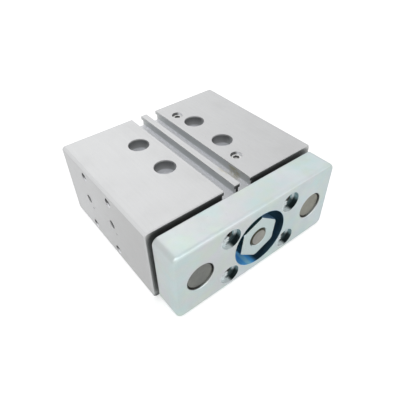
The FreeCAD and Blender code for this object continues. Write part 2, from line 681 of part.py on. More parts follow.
def make_plate():
    """Yoke plate with its centre bore, rod holes and tool holes."""
    body = new_body("yoke_plate", z="axis_height")
    outline = new_sketch(body, "plate_outline", "front", f"-{PLATE_REAR}")
    draw_polygon(outline, box_corners("-plate_width / 2", "-plate_height / 2",
                                      "plate_width / 2", "plate_height / 2"))
    slab = add_pad(body, "plate_slab", outline, "plate_thickness")
    corners = edges_where(slab.Shape, along_y)
    add_dressup(body, "Fillet", "plate_corners", slab, corners, "plate_corner")
    for end, level in (("front", PLATE_FRONT), ("rear", PLATE_REAR)):
        around = edges_where(body.Shape, lambda edge: lies_at_y(edge, value(level)))
        add_dressup(body, "Fillet", f"plate_{end}_rim", body.Tip, around, f"plate_{end}_edge")

    through = new_sketch(body, "plate_hole_places", "front", f"-{PLATE_FRONT}")
    draw_circle(through, ("0", "0"), "rod_thread + 2 * rod_play")
    for sign in ("-", ""):
        draw_circle(through, (f"{sign}guide_spacing / 2", "0"), "guide_dia + 2 * seated_fit")
    sinks = new_sketch(body, "plate_sink_places", "front", f"-{PLATE_FRONT}")
    for place in four("plate_holes_x", "plate_holes_z"):
        draw_circle(through, place, "plate_thread")
        draw_circle(sinks, place, "plate_sink")
    add_pocket(body, "plate_holes", through)
    add_pocket(body, "plate_sinks", sinks, "plate_sink_depth")
    centre = new_sketch(body, "plate_bore_place", "front", f"-{PLATE_FRONT}")
    draw_circle(centre, ("0", "0"), "plate_bore")
    add_pocket(body, "plate_centre_bore", centre, "plate_thickness - plate_web")
    rod_mouths = rims(body.Shape, "y", PLATE_FRONT, "guide_dia + 2 * seated_fit")
    add_dressup(body, "Chamfer", "rod_hole_mouths", body.Tip, rod_mouths, "end_break / 2")
    sink_floor = f"{PLATE_FRONT} + plate_sink_depth"
    tool_mouths = rims(body.Shape, "y", sink_floor, "plate_thread")
    add_dressup(body, "Chamfer", "tool_hole_mouths", body.Tip, tool_mouths, "thread_mouth")
    return body


def make_piston_rod():
    """Piston rod with a threaded front end through the plate and a stud for the piston."""
    tip = f"{PLATE_FRONT} + rod_recess"
    skin = half("rod_dia")
    thread = half("rod_thread")
    stud = half("rod_stud")
    stud_end = f"{PISTON_REAR} + piston_nut_height + stud_tip"
    turned("piston_rod", [
        ("0", tip), (f"{thread} - rod_break", tip), (thread, f"{tip} + rod_break"),
        (thread, PLATE_REAR), (skin, PLATE_REAR), (skin, PISTON_FRONT), (stud, PISTON_FRONT),
        (stud, f"{stud_end} - end_break"), (f"{stud} - end_break", stud_end), ("0", stud_end)])


def make_nut(label, front, height, flats, turn, hole, crown, slope):
    """Hexagon nut: a hexagonal pad, bored, with its corners turned off and its thread chamfered."""
    rear = f"({front} + {height})"
    body = new_body(label, z="axis_height")
    section = new_sketch(body, label + "_section", "front", f"-{rear}")
    draw_polygon(section, hexagon(flats, turn))
    draw_circle(section, ("0", "0"), hole)
    add_pad(body, label + "_block", section, height)
    profile = new_sketch(body, label + "_chamfer_profile", "top")
    corner = f"{flats} / 2 / cos(30) + nut_break"
    flat = half(crown)
    drop = f"{slope} * ({corner} - {flat}) / ({flats} / 2 / cos(30) - {flat})"
    mouth = half(hole)
    for face, sign in ((front, "+"), (rear, "-")):
        outward = "-" if sign == "+" else "+"
        draw_polygon(profile, [
            (flat, face), (corner, f"{face} {sign} {drop}"), (corner, f"{face} {outward} nut_break"),
            (flat, f"{face} {outward} nut_break")])
        draw_polygon(profile, [
            (f"{mouth} - nut_break", face), (f"{mouth} + nut_break", face),
            (f"{mouth} - nut_break", f"{face} {sign} 2 * nut_break")])
    add_groove(body, label + "_chamfers", profile)
    return body


def make_piston():
    """Two piston halves on the rod's stud, with the rings that they carry."""
    land = half("piston_dia")
    stud_hole = half("rod_stud", "+ seated_fit")
    seal_floor = half("seal_floor")
    magnet_seat = half("magnet_floor")
    wear_seat = half("wear_floor")
    turned("piston_front_half", [
        (stud_hole, PISTON_FRONT), (land, PISTON_FRONT), (land, FRONT_GROOVE),
        (seal_floor, FRONT_GROOVE), (seal_floor, f"{FRONT_GROOVE} + seal_width"),
        (land, f"{FRONT_GROOVE} + seal_width"), (land, MAGNET_SEAT), (magnet_seat, MAGNET_SEAT),
        (magnet_seat, PISTON_SPLIT), (stud_hole, PISTON_SPLIT)])
    turned("piston_rear_half", [
        (stud_hole, PISTON_SPLIT), (land, PISTON_SPLIT), (land, WEAR_SEAT), (wear_seat, WEAR_SEAT),
        (wear_seat, f"{WEAR_SEAT} + wear_width"), (land, f"{WEAR_SEAT} + wear_width"),
        (land, REAR_GROOVE), (seal_floor, REAR_GROOVE), (seal_floor, f"{REAR_GROOVE} + seal_width"),
        (land, f"{REAR_GROOVE} + seal_width"), (land, PISTON_REAR), (stud_hole, PISTON_REAR)])
    wall = half("cylinder_bore", "- running_fit")
    ring("piston_magnet", f"{magnet_seat} + seated_fit", f"{land} - seated_fit",
         MAGNET_SEAT, PISTON_SPLIT)
    ring("piston_wear_ring", f"{wear_seat} + seated_fit", wall,
         f"{WEAR_SEAT} + seated_fit", f"{WEAR_SEAT} + wear_width - seated_fit")
    for place, start, sign in (("front", FRONT_GROOVE, "-"), ("rear", REAR_GROOVE, "+")):
        low = f"{start} + seated_fit"
        high = f"{start} + seal_width - seated_fit"
        inner = f"{seal_floor} + seated_fit"
        waist = f"{land} - seated_fit"
        middle = f"{start} + seal_width / 2"
        turned(f"{place}_piston_seal", [
            (inner, low), (waist, low), (wall, f"{middle} - seal_width / 8"),
            (wall, f"{middle} + seal_width / 8"), (waist, high), (inner, high)])
    for place, start in (("front", f"{PISTON_FRONT} - bumper"), ("rear", PISTON_REAR)):
        ring(f"{place}_bumper", half("rear_recess"), half("bumper_outer"), start, f"{start} + bumper")


def check_document():
    """Stops the build if any object failed or any piece has no sound solid."""
    for thing in doc.Objects:
        if "Invalid" in thing.State or "Error" in thing.State:
            raise RuntimeError(thing.Name + " failed: " + str(thing.State))


make_housing()
make_caps()
make_o_ring("front_cap_o_ring", f"{FRONT_CAP} + cap_ring_front + cap_ring_groove / 2")
make_o_ring("rear_cap_o_ring", f"{REAR_CAP} - cap_ring_rear - cap_ring_groove / 2")
make_circlip("front_circlip", FRONT_CAP)
make_circlip("rear_circlip", f"{REAR_CAP} + ring_thickness")
make_rod_seal()
ring("rod_bush", half("rod_dia", "+ running_fit"), half("rod_bush_outer", "- seated_fit"),
     f"{CHAMBER_FRONT} - front_recess_depth - rod_bush_length", f"{CHAMBER_FRONT} - front_recess_depth")
make_guides()
make_port_plug("front_port_plug", FRONT_PORT)
make_port_plug("rear_port_plug", REAR_PORT)
make_plate()
make_piston_rod()
make_nut("rod_nut", f"({WEB_FRONT} - nut_height)", "nut_height", "nut_flats", "nut_turn",
         "rod_thread + 2 * seated_fit", "nut_crown", "nut_slope")
make_piston()
make_nut("piston_nut", PISTON_REAR, "piston_nut_height", "piston_nut_flats", "0",
         "rod_stud + 2 * seated_fit", "piston_nut_flats + nut_break", "nut_slope")

doc.recompute()
check_document()
os.makedirs("parts", exist_ok=True)
for piece in doc.Objects:
    if piece.TypeId != "PartDesign::Body":
        continue
    shape = piece.Shape
    if shape.isNull() or not shape.isValid() or len(shape.Solids) != 1:
        raise RuntimeError(piece.Label + " has no single sound solid")
    shape.exportStep("parts/" + piece.Label + ".step")
    print(piece.Label, round(shape.Volume, 1))
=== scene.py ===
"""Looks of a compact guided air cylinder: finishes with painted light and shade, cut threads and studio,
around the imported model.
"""
import json
import math
from functools import reduce

import bmesh
import bpy
import numpy as np
from bpy.props import FloatProperty, FloatVectorProperty, IntProperty, PointerProperty
from mathutils import Matrix, Vector


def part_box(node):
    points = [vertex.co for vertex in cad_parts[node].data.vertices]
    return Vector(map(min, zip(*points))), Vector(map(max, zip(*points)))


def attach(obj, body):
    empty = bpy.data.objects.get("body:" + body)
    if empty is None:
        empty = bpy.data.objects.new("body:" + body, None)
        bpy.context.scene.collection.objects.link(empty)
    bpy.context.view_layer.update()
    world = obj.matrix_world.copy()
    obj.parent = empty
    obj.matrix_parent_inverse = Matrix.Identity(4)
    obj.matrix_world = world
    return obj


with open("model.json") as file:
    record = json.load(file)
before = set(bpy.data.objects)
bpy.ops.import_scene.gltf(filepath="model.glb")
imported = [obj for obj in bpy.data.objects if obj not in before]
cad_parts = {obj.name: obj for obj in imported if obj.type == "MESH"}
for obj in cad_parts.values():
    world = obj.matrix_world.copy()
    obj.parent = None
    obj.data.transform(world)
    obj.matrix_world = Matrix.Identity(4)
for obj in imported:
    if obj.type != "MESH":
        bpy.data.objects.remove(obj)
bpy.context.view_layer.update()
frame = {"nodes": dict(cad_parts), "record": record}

bl_info = {
    "name": "Guided Air Cylinder Finishes",
    "version": (1, 0, 0),
    "blender": (4, 5, 0),
    "location": "View3D > Sidebar > Cylinder",
    "description": "Dresses a guided air cylinder with metal finishes, cut threads and a pale studio",
    "category": "Material",
}

MM = 0.001
SOFT = 0.1 * MM
FIXED = "housing_unit"
SLIDING = "sliding_unit"
MOUNTS = {mount["name"]: mount for mount in frame["record"]["mounts"]}
PORT_PLUGS = ("front_port_plug", "rear_port_plug")


def holes(name):
    """Centre, in the plane of its face, and radius of each hole of a named bolt pattern."""
    mount = MOUNTS[name]
    across = [axis for axis in range(3) if abs(mount["axis"][axis]) < 0.5]
    reach = [mount["dims"].get(key, 0.0) * MM / 2 for key in ("spacing_x_mm", "spacing_y_mm")]
    found = []
    for first in sorted({-reach[0], reach[0]}):
        for second in sorted({-reach[1], reach[1]}):
            centre = np.array(mount["pos_m"], dtype=float)
            centre[across] += (first, second)
            found.append((centre, mount["dims"]["hole_r_mm"] * MM))
    return found


def node_box(name):
    """Lowest and highest corner of a CAD node at rest as two numpy arrays, in metres."""
    return tuple(np.array(corner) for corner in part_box(name))


HOUSING_LOW, HOUSING_HIGH = node_box("housing")
PLATE_LOW, PLATE_HIGH = node_box("yoke_plate")
ROD_LOW, ROD_HIGH = node_box("piston_rod")
GUIDE_LOW, GUIDE_HIGH = node_box("right_guide_rod")
TOP = HOUSING_HIGH[2]
FRONT = HOUSING_LOW[1]
AXIS_Z = float((ROD_LOW[2] + ROD_HIGH[2]) / 2)
CENTRE = (0.0, 0.0, AXIS_Z)
GUIDE_X = float((GUIDE_LOW[0] + GUIDE_HIGH[0]) / 2)
GUIDE_RADIUS = float((GUIDE_HIGH[0] - GUIDE_LOW[0]) / 2)
GUIDE_CENTRES = ((-GUIDE_X, 0.0, AXIS_Z), (GUIDE_X, 0.0, AXIS_Z))


def paint(name, description, *rgb):
    """A colour picker; its default is a linear colour."""
    return FloatVectorProperty(name=name, description=description, subtype="COLOR", size=4,
                               min=0.0, max=1.0, default=(*rgb, 1.0))


def length(name, description, default):
    """A length, whose default is given in millimetres."""
    return FloatProperty(name=name, description=description, unit="LENGTH", default=default * MM)


def angle(name, description, default):
    """An angle, whose default is given in degrees."""
    return FloatProperty(name=name, description=description, unit="ROTATION", default=math.radians(default))


def factor(name, description, default, top=1.0):
    """A plain number from nought to its top."""
    return FloatProperty(name=name, description=description, min=0.0, max=top, default=default)


class CylinderColours(bpy.types.PropertyGroup):
    """Colours of the finishes and of the painted light, shade and reflections, linear."""

    anodised: paint("Anodised housing", "Clear anodised extrusion", 0.7, 0.705, 0.71)
    anodised_painted_light: paint("Lighter anodising", "Left of the top and its left edge", 0.8, 0.805, 0.81)
    anodised_painted_shade: paint("Dimmer anodising", "Front of the sides", 0.53, 0.53, 0.525)
    milled: paint("Milled ends", "Machined end faces of the housing", 0.66, 0.66, 0.65)
    cavity_wall: paint("Shaded walls", "Walls in shade in the holes of the housing", 0.25, 0.255, 0.255)
    slot_wall_shade: paint("Slot walls", "Anodised walls of the slots", 0.6, 0.62, 0.62)
    cavity_painted_light: paint("Lit floors", "Floors and lit walls of holes and slots", 0.9, 0.91, 0.94)
    stain: paint("Oil stain", "Dried oil in a sensor slot", 0.42, 0.38, 0.2)
    gap: paint("Gap behind the plate", "Faces in the narrow gap", 0.2, 0.21, 0.21)
    zinc: paint("Zinc plate", "Blue passivated zinc", 0.66, 0.695, 0.7)
    zinc_painted_light: paint("Lighter zinc", "Right of the plate's top and its front edge", 0.77, 0.84, 0.86)
    zinc_painted_shade: paint("Dimmer zinc", "Right part of the plate's front", 0.59, 0.665, 0.68)
    zinc_rear_shade: paint("Zinc plate's rear", "Duller zinc", 0.5, 0.53, 0.53)
    # Blue passivation, deepened as painted reflection in the bore
    blue_zinc_and_reflection: paint("Bore floor", "Blue passivated zinc", 0.5, 0.8, 1.0)
    bore_wall_shade: paint("Bore wall", "Dark blue", 0.08, 0.155, 0.19)
    # Painted highlight in the bore
    bore_highlight: paint("Bright zinc", "Blue patch low in the bore", 0.12, 0.52, 1.0)
    bore_streak_highlight: paint("Streak", "Sky blue along the bore's wall", 0.36, 0.8, 1.0)
    zinc_wall: paint("Zinc in shade", "Dark walls of the tool holes", 0.05, 0.075, 0.08)
    tool_hole_upper_light: paint("Zinc high up", "Upper walls of the tool holes", 0.3, 0.45, 0.48)
    tool_hole_light: paint("Pale zinc", "Lit parts of the tool holes", 0.9, 0.97, 0.98)
    tool_thread_shade: paint("Zinc on threads", "Tool threads", 0.045, 0.05, 0.045)
    nut: paint("Nuts", "Zinc plating", 0.62, 0.71, 0.71)
    nut_flat_reflection: paint("Nut flats", "Bluer zinc", 0.25, 0.46, 0.7)
    nut_left_reflection: paint("Left nut flats", "Greener zinc", 0.45, 0.8, 0.75)
    rod: paint("Piston rod", "Stainless steel", 0.5, 0.48, 0.44)
    rod_end: paint("Rod ends", "Dull ends of the piston rod", 0.4, 0.39, 0.35)
    rim_shade: paint("Rod rim", "Dark thread round the rod's front end", 0.07, 0.07, 0.05)
    chrome: paint("Guide rods", "Ground and chromed rods", 0.3, 0.29, 0.265)
    guide_end: paint("Left rod's end", "Dull sawn end", 0.23, 0.235, 0.215)
    guide_warm: paint("Right rod's end", "Warmer sawn end", 0.31, 0.305, 0.255)
    thread: paint("Cut threads", "Anodised threads and the sockets of the plugs", 0.15, 0.15, 0.15)
    plug: paint("Port plugs", "Zinc plated socket screws", 0.97, 0.97, 0.95)
    bronze: paint("Bushes", "Oiled sintered bronze", 0.42, 0.26, 0.11)
    spring: paint("Circlips", "Phosphated spring steel", 0.06, 0.06, 0.065)
    rubber: paint("Rubber", "Nitrile wipers and O-rings", 0.015, 0.015, 0.016)
    urethane: paint("Polyurethane", "Blue seals and bumpers", 0.03, 0.08, 0.24)
    magnet: paint("Magnet", "Plastic bonded magnet ring", 0.05, 0.048, 0.046)
    acetal: paint("Wear ring", "Natural acetal", 0.74, 0.7, 0.6)


class CylinderSizes(bpy.types.PropertyGroup):
    """Sizes of what is added to the model."""

    bore: length("Plate bore", "Diameter of the yoke plate's centre bore", 25.63)
    mouth: length("Countersink", "Countersink of the M5 and M6 threads", 0.4)
    side_mouth: length("M4 countersink", "Countersink of the threads in the sides", 0.15)
    socket: length("Plug socket", "Radius round which a port plug's socket lies", 1.6)
    nut_mouth: length("Nut mouth", "Radius round which the nut's countersink lies", 5.0)
    rod_face: length("Rod face", "Radius of the bright face on the rod's front end", 3.3)
    slot_depth: length("Slot depth", "Depth of the sensor slots", 5.3)
    sink: length("Tool hole sink", "Depth of the counterbores in the yoke plate", 2.1)
    pitch: length("M5 pitch", "Pitch of the M5 threads", 0.8)
    height: length("M5 height", "Height of the M5 threads", 0.41)
    side_pitch: length("M4 pitch", "Pitch of the M4 threads", 0.7)
    side_height: length("M4 height", "Height of the M4 threads", 0.36)
    base_pitch: length("M6 pitch", "Pitch of the M6 threads", 1.0)
    base_height: length("M6 height", "Height of the M6 threads", 0.42)
    side_depth: length("Side threads", "Length of the threads in the sides", 8.0)
    port_depth: length("Port threads", "Length of the threads in the side ports", 7.0)
    base_depth: length("Base threads", "Length of the threads in the underside", 11.0)
    around: IntProperty(name="Thread facets", description="Steps round each thread", default=32)


class CylinderStage(bpy.types.PropertyGroup):
    """Camera and light."""

    azimuth: angle("Azimuth", "Camera round the object", -36.993)
    elevation: angle("Elevation", "Camera above the horizon", 42.43)
    roll: angle("Roll", "Camera about its own axis", -1.626)
    distance: length("Distance", "Camera to its target", 168.322)
    target: FloatVectorProperty(name="Target", description="Point that the camera looks at", size=3,
                                subtype="XYZ", default=(-4.436 * MM, -18.582 * MM, 18.0 * MM))
    lens: FloatProperty(name="Lens", description="Focal length in millimetres", default=35.269)
    world_level: factor("Sky level", "Light of the white surround", 0.576, 4.0)
    world_mirrored: factor("Mirrored sky", "Share of the white surround that metal mirrors", 0.8)
    key_power: factor("Key power", "Softbox over the left front, watts", 0.5, 100.0)
    fill_power: factor("Fill power", "Softbox in front, watts", 0.65, 100.0)
    back_power: factor("Back power", "Softbox behind the right rear, watts", 0.55, 100.0)
    floor_level: factor("Floor level", "Brightness of the floor", 0.9)
    floor_glow: factor("Floor glow", "Light that the floor adds for the camera", 0.46, 4.0)
    floor_mirrored: factor("Mirrored glow", "Share of that light that metal mirrors", 0.48)


class Wiring:
    """Short calls for adding nodes to one tree and linking them."""

    def __init__(self, tree):
        self.tree = tree

    def node(self, kind, **values):
        """A node with its properties set."""
        made = self.tree.nodes.new(kind)
        for name, value in values.items():
            setattr(made, name, value)
        return made

    def feed(self, socket, source):
        """Links a socket, or sets its value from a plain one."""
        if isinstance(source, bpy.types.NodeSocket):
            self.tree.links.new(source, socket)
        else:
            socket.default_value = source

    def feed_all(self, made, *sources, **named):
        """Feeds a node's sockets in order and by name, and gives the node back."""
        for socket, source in zip(made.inputs, sources):
            self.feed(socket, source)
        for name, source in named.items():
            self.feed(made.inputs[name], source)
        return made

    def math(self, operation, first, second=0.0, clamp=False):
        """Output of a Math node."""
        made = self.node("ShaderNodeMath", operation=operation, use_clamp=clamp)
        return self.feed_all(made, first, second).outputs[0]

    def times(self, *values):
        """Product of masks and plain factors."""
        return reduce(lambda first, second: self.math("MULTIPLY", first, second), values)

    def most(self, *values):
        """Largest of several masks."""
        return reduce(lambda first, second: self.math("MAXIMUM", first, second), values)

    def rest(self, mask, whole=1.0):
        """What a mask leaves of the whole."""
        return self.math("SUBTRACT", whole, mask)

    def vector(self, operation, first, second=(0.0, 0.0, 0.0)):
        """Output of a Vector Math node."""
        made = self.feed_all(self.node("ShaderNodeVectorMath", operation=operation), first, second)
        return made.outputs["Value" if operation in ("DOT_PRODUCT", "LENGTH") else "Vector"]

    def noise(self, vector, scale, detail=2.0, roughness=0.5):
        """Factor of a noise texture, with its scale in cells per unit."""
        made = self.node("ShaderNodeTexNoise")
        self.feed_all(made, Vector=vector, Scale=scale, Detail=detail, Roughness=roughness)
        return made.outputs["Fac"]

    def span(self, value, low, high, to_low=0.0, to_high=1.0, kind="SMOOTHSTEP"):
        """A value mapped from one span to another and held inside it."""
        made = self.node("ShaderNodeMapRange", interpolation_type=kind)
        return self.feed_all(made, value, low, high, to_low, to_high).outputs[0]

    def fall(self, value, low, high):
        """Mask that is one below the low limit and nought above the high one."""
        return self.span(value, low, high, 1.0, 0.0)

    def along(self, vector, direction, *span):
        """How far a vector reaches along a direction, mapped as span maps it."""
        return self.span(self.vector("DOT_PRODUCT", vector, direction), *span)

    def mix(self, share, first, second, blend="MIX"):
        """Mix of two colours."""
        made = self.node("ShaderNodeMix", data_type="RGBA", blend_type=blend)
        return self.feed_all(made, Factor=share, A=first, B=second).outputs["Result"]

    def stretched(self, vector, scale):
        """A vector scaled by three factors, to stretch a pattern."""
        return self.feed_all(self.node("ShaderNodeMapping"), Vector=vector, Scale=scale).outputs[0]

    def shifted(self, vector, centre):
        """A vector measured from another centre."""
        return self.vector("SUBTRACT", vector, tuple(centre))

    def spread(self, value):
        """A vector whose three parts are the same value."""
        return self.feed_all(self.node("ShaderNodeCombineXYZ"), value, value, value).outputs[0]

    def part(self, vector, axis):
        """One part of a vector."""
        return self.feed_all(self.node("ShaderNodeSeparateXYZ"), vector).outputs[axis]

    def towards(self, direction, low=0.9, high=0.96):
        """Mask of the faces that look in one direction."""
        return self.along(self.node("ShaderNodeTexCoord").outputs["Normal"], direction, low, high)

    def facing(self, axis, sign=1.0, low=0.9, high=0.96):
        """Mask of the faces that look along one axis of the object."""
        return self.towards(tuple(sign * (axis == name) for name in "XYZ"), low, high)

    def both(self, axis):
        """Mask of the faces that look either way along one axis."""
        return self.math("ADD", self.facing(axis, -1.0), self.facing(axis), clamp=True)

    def out_from(self, place, centre, axis="Y"):
        """Vector to a place from an axis through the centre, square to it."""
        kept = tuple(float(axis != name) for name in "XYZ")
        return self.vector("MULTIPLY", self.shifted(place, centre), kept)

    def around(self, place, centre):
        """Unit vector to a place from an axis along Y."""
        return self.vector("NORMALIZE", self.out_from(place, centre))

    def inside(self, place, centre, radius, soft=SOFT, axis="Y"):
        """Mask of what lies within a radius of an axis through the centre."""
        away = self.vector("LENGTH", self.out_from(place, centre, axis))
        return self.fall(away, radius - soft, radius + soft)

    def within(self, value, low, high, soft=0.5 * MM):
        """Mask of a value that lies between two limits, with soft ends."""
        above = self.span(value, low - soft, low + soft)
        return self.times(above, self.fall(value, high - soft, high + soft))

    def buried(self, place, low, high, margin):
        """Mask of what lies deeper than a margin in a box: the walls of holes and slots."""
        return self.times(*(self.within(self.part(place, n), low[n] + margin, high[n] - margin, SOFT)
                            for n in range(3)))

    def tight(self, reach):
        """Mask of what other surfaces cover within that reach, as in the gap behind the plate."""
        made = self.feed_all(self.node("ShaderNodeAmbientOcclusion", samples=8), Distance=reach)
        return self.fall(made.outputs["AO"], 0.7, 0.95)

    def group(self, name, **sources):
        """Outputs of a shared node group with its inputs set by name."""
        made = self.node("ShaderNodeGroup", node_tree=bpy.data.node_groups[name])
        return self.feed_all(made, **sources).outputs


def emptied(block):
    """Wiring of the emptied node tree of a material or world."""
    block.use_nodes = True
    block.node_tree.nodes.clear()
    return Wiring(block.node_tree)


def add_object(name, data):
    """A new object in the scene that shows a mesh, lamp or camera."""
    made = bpy.data.objects.new(name, data)
    bpy.context.scene.collection.objects.link(made)
    return made


# Shared node groups: each puts out only a colour, masks or a height

def new_group(name, inputs, outputs):
    """Shader node group with a Vector and other named inputs: its wiring and two ends."""
    group = bpy.data.node_groups.new(name, "ShaderNodeTree")
    kinds = {"Vector": "NodeSocketVector", "Base": "NodeSocketColor", "Color": "NodeSocketColor"}
    for way, labels in (("INPUT", ("Vector", *inputs)), ("OUTPUT", outputs)):
        for label in labels:
            kind = kinds.get(label, "NodeSocketFloat")
            group.interface.new_socket(name=label, in_out=way, socket_type=kind)
    start = group.nodes.new("NodeGroupInput")
    end = group.nodes.new("NodeGroupOutput")
    return Wiring(group), start.outputs, end


def build_edge_wear():
    """Mask of edges: how far the rounded-off normal leans from the true one, broken up by noise."""
    w, given, end = new_group("edge_wear", ["Radius", "Breakup"], ["Mask"])
    bevel = w.feed_all(w.node("ShaderNodeBevel", samples=4), Radius=given["Radius"])
    true_normal = w.node("ShaderNodeNewGeometry").outputs["Normal"]
    edge = w.span(w.rest(w.vector("DOT_PRODUCT", bevel.outputs[0], true_normal)), 0.02, 0.25)
    patches = w.span(w.noise(given["Vector"], 900.0, detail=3.0, roughness=0.6), 0.35, 0.65)
    w.feed_all(end, Mask=w.times(edge, w.rest(w.times(given["Breakup"], patches))))


def build_grain():
    """Fine grain: sharp noise with a broad noise under it; the vector's stretch draws it out."""
    w, given, end = new_group("metal_grain", ["Fineness"], ["Height", "Tone"])
    fine = w.noise(given["Vector"], given["Fineness"], detail=3.0, roughness=0.6)
    broad = w.noise(given["Vector"], w.times(given["Fineness"], 0.12))
    both = w.math("ADD", w.times(fine, 0.7), w.times(broad, 0.3))
    w.feed_all(end, Height=both, Tone=w.span(both, 0.3, 0.7))


def build_handling():
    """Marks of use: broad smudges, small dark specks and hairline scratches as three masks."""
    w, given, end = new_group("handling_marks", ["Amount"], ["Smudge", "Speck", "Scratch"])
    place = given["Vector"]
    smudge = w.span(w.noise(place, 55.0, detail=4.0, roughness=0.6), 0.45, 0.75)
    speck = w.span(w.noise(place, 1300.0), 0.73, 0.78)
    bent = w.spread(w.times(w.noise(place, 30.0, detail=1.0), 0.01))
    hair = w.noise(w.vector("ADD", w.stretched(place, (120.0, 1500.0, 600.0)), bent), 1.0, detail=1.0)
    scratch = w.fall(w.math("ABSOLUTE", w.math("SUBTRACT", hair, 0.5)), 0.0, 0.006)
    sparse = w.span(w.noise(place, 90.0), 0.56, 0.66)
    masks = {"Smudge": smudge, "Speck": speck, "Scratch": w.times(scratch, sparse)}
    w.feed_all(end, **{name: w.times(mask, given["Amount"]) for name, mask in masks.items()})


def build_colour_play():
    """Interference colours of a passivated surface: three slow noises lay on cyan, rose and straw."""
    w, given, end = new_group("colour_play", ["Base", "Strength"], ["Color"])
    colour = given["Base"]
    cyan, rose, straw = (0.50, 0.80, 0.78, 1.0), (0.74, 0.70, 0.78, 1.0), (0.66, 0.76, 0.60, 1.0)
    for shift, scale, hue in (((0.0, 0.0, 0.0), 70.0, cyan), ((3.1, 0.7, 1.9), 95.0, rose),
                              ((7.7, 4.2, 2.3), 120.0, straw)):
        moved = w.vector("ADD", given["Vector"], shift)
        mask = w.span(w.noise(moved, scale, detail=3.0, roughness=0.6), 0.42, 0.68)
        colour = w.mix(w.times(mask, given["Strength"]), colour, hue)
    w.feed_all(end, Color=colour)


def build_rings():
    """Turning marks: a sine of the distance from the Y axis, one wave per pitch, with uneven strength."""
    w, given, end = new_group("turning_marks", ["Pitch"], ["Height"])
    radius = w.vector("LENGTH", w.vector("MULTIPLY", given["Vector"], (1.0, 0.0, 1.0)))
    uneven = w.noise(w.spread(w.times(radius, 1500.0)), 1.0)
    wave = w.math("SINE", w.times(w.math("DIVIDE", radius, given["Pitch"]), 2 * math.pi))
    w.feed_all(end, Height=w.times(w.math("ADD", wave, 1.0), uneven))


# Finishes

SMUDGE = (0.45, 0.44, 0.42, 1.0)
SPECK = (0.12, 0.11, 0.1, 1.0)
WORN = (0.86, 0.87, 0.88, 1.0)
DUST = (0.3, 0.29, 0.27, 1.0)
PORE = (0.09, 0.05, 0.02, 1.0)
OIL = (0.2, 0.12, 0.05, 1.0)
CLOUD = (0.82, 0.82, 0.86, 1.0)
GAP_REACH = 3.0 * MM
UPPER_LEFT = (-0.6, 0.0, 0.8)
LOWER_RIGHT = (0.55, 0.0, -0.84)


class Finish:
    """A material under way: its colour, roughness and height can be added to until it is closed."""

    def __init__(self, name, colour, roughness, relief=0.0):
        self.material = bpy.data.materials.new(name)
        self.w = emptied(self.material)
        self.shader = self.w.node("ShaderNodeBsdfPrincipled")
        self.w.feed_all(self.w.node("ShaderNodeOutputMaterial"), Surface=self.shader.outputs[0])
        self.place = self.w.node("ShaderNodeTexCoord").outputs["Object"]
        self.shade = colour
        self.rough = roughness
        self.relief = relief * MM
        self.height = 0.0

    def tint(self, colour, *masks):
        """Lays a colour over the surface by the product of masks and shares."""
        self.shade = self.w.mix(self.w.times(*masks), self.shade, colour)

    def play(self, strength):
        """Lays interference colours over the surface."""
        made = self.w.group("colour_play", Vector=self.place, Base=self.shade, Strength=strength)
        self.shade = made["Color"]

    def rings(self, centre, pitch, *masks):
        """Adds turning marks round an axis along Y, with their pitch in millimetres."""
        moved = self.w.shifted(self.place, centre)
        marks = self.w.group("turning_marks", Vector=moved, Pitch=pitch * MM)["Height"]
        self.height = self.w.math("ADD", self.height, self.w.times(marks, *masks))

    def matt(self, *masks):
        """Takes the metal's mirror away by the product of masks, so that deep places take light."""
        self.w.feed(self.shader.inputs["Metallic"], self.w.rest(self.w.times(*masks)))

    def close(self):
        """Wires everything into the shader and gives back the material."""
        self.w.feed_all(self.shader, **{"Base Color": self.shade, "Roughness": self.rough})
        if self.relief:
            bump = self.w.feed_all(self.w.node("ShaderNodeBump"), Distance=self.relief, Height=self.height)
            self.w.feed(self.shader.inputs["Normal"], bump.outputs[0])
        return self.material


def metal(name, colour, roughness, stretch=(1.0, 1.0, 1.0), fineness=6000.0, relief=0.004, wear=0.3,
          marks=0.5, tone=0.06, edge=0.2):
    """Metal with grain, bright worn edges and handling marks; relief and edge in millimetres."""
    finish = Finish(name, colour, roughness, relief)
    w, place = finish.w, finish.place
    grain = w.group("metal_grain", Vector=w.stretched(place, stretch), Fineness=fineness)
    used = w.group("handling_marks", Vector=place, Amount=marks)
    worn = w.group("edge_wear", Vector=place, Radius=edge * MM, Breakup=0.6)["Mask"]
    dark = w.mix(1.0, colour, [1.0 - tone] * 3 + [1.0], "MULTIPLY")
    finish.tint(dark, grain["Tone"])
    finish.tint(SMUDGE, used["Smudge"], 0.12)
    finish.tint(SPECK, used["Speck"], 0.5)
    finish.tint(WORN, worn, wear)
    for mask, rougher in ((grain["Tone"], 0.08), (used["Smudge"], 0.07)):
        finish.rough = w.math("ADD", finish.rough, w.times(mask, rougher))
    finish.height = w.math("SUBTRACT", grain["Height"], w.times(used["Scratch"], 0.8))
    finish.shader.inputs["Metallic"].default_value = 1.0
    return finish


def moulded(name, colour, roughness, fineness=2600.0, relief=0.01, dust=0.2, coat=0.0):
    """Rubber or plastic: fine moulded grain, paler dust where noise gathers and painted light on the edges.
    """
    finish = Finish(name, colour, roughness, relief)
    w, place = finish.w, finish.place
    grain = w.group("metal_grain", Vector=place, Fineness=fineness)
    edge = w.group("edge_wear", Vector=place, Radius=0.2 * MM, Breakup=0.5)["Mask"]
    smudge = w.group("handling_marks", Vector=place, Amount=0.6)["Smudge"]
    pale = w.mix(1.0, colour, (1.6, 1.6, 1.6, 1.0), "MULTIPLY")
    finish.tint(pale, grain["Tone"], 0.3)
    # Painted light on the edges
    finish.tint(pale, edge, 0.35)
    finish.tint(DUST, smudge, dust)
    finish.rough = w.math("ADD", roughness, w.times(grain["Tone"], 0.1))
    finish.height = grain["Height"]
    finish.shader.inputs["Coat Weight"].default_value = coat
    return finish.close()


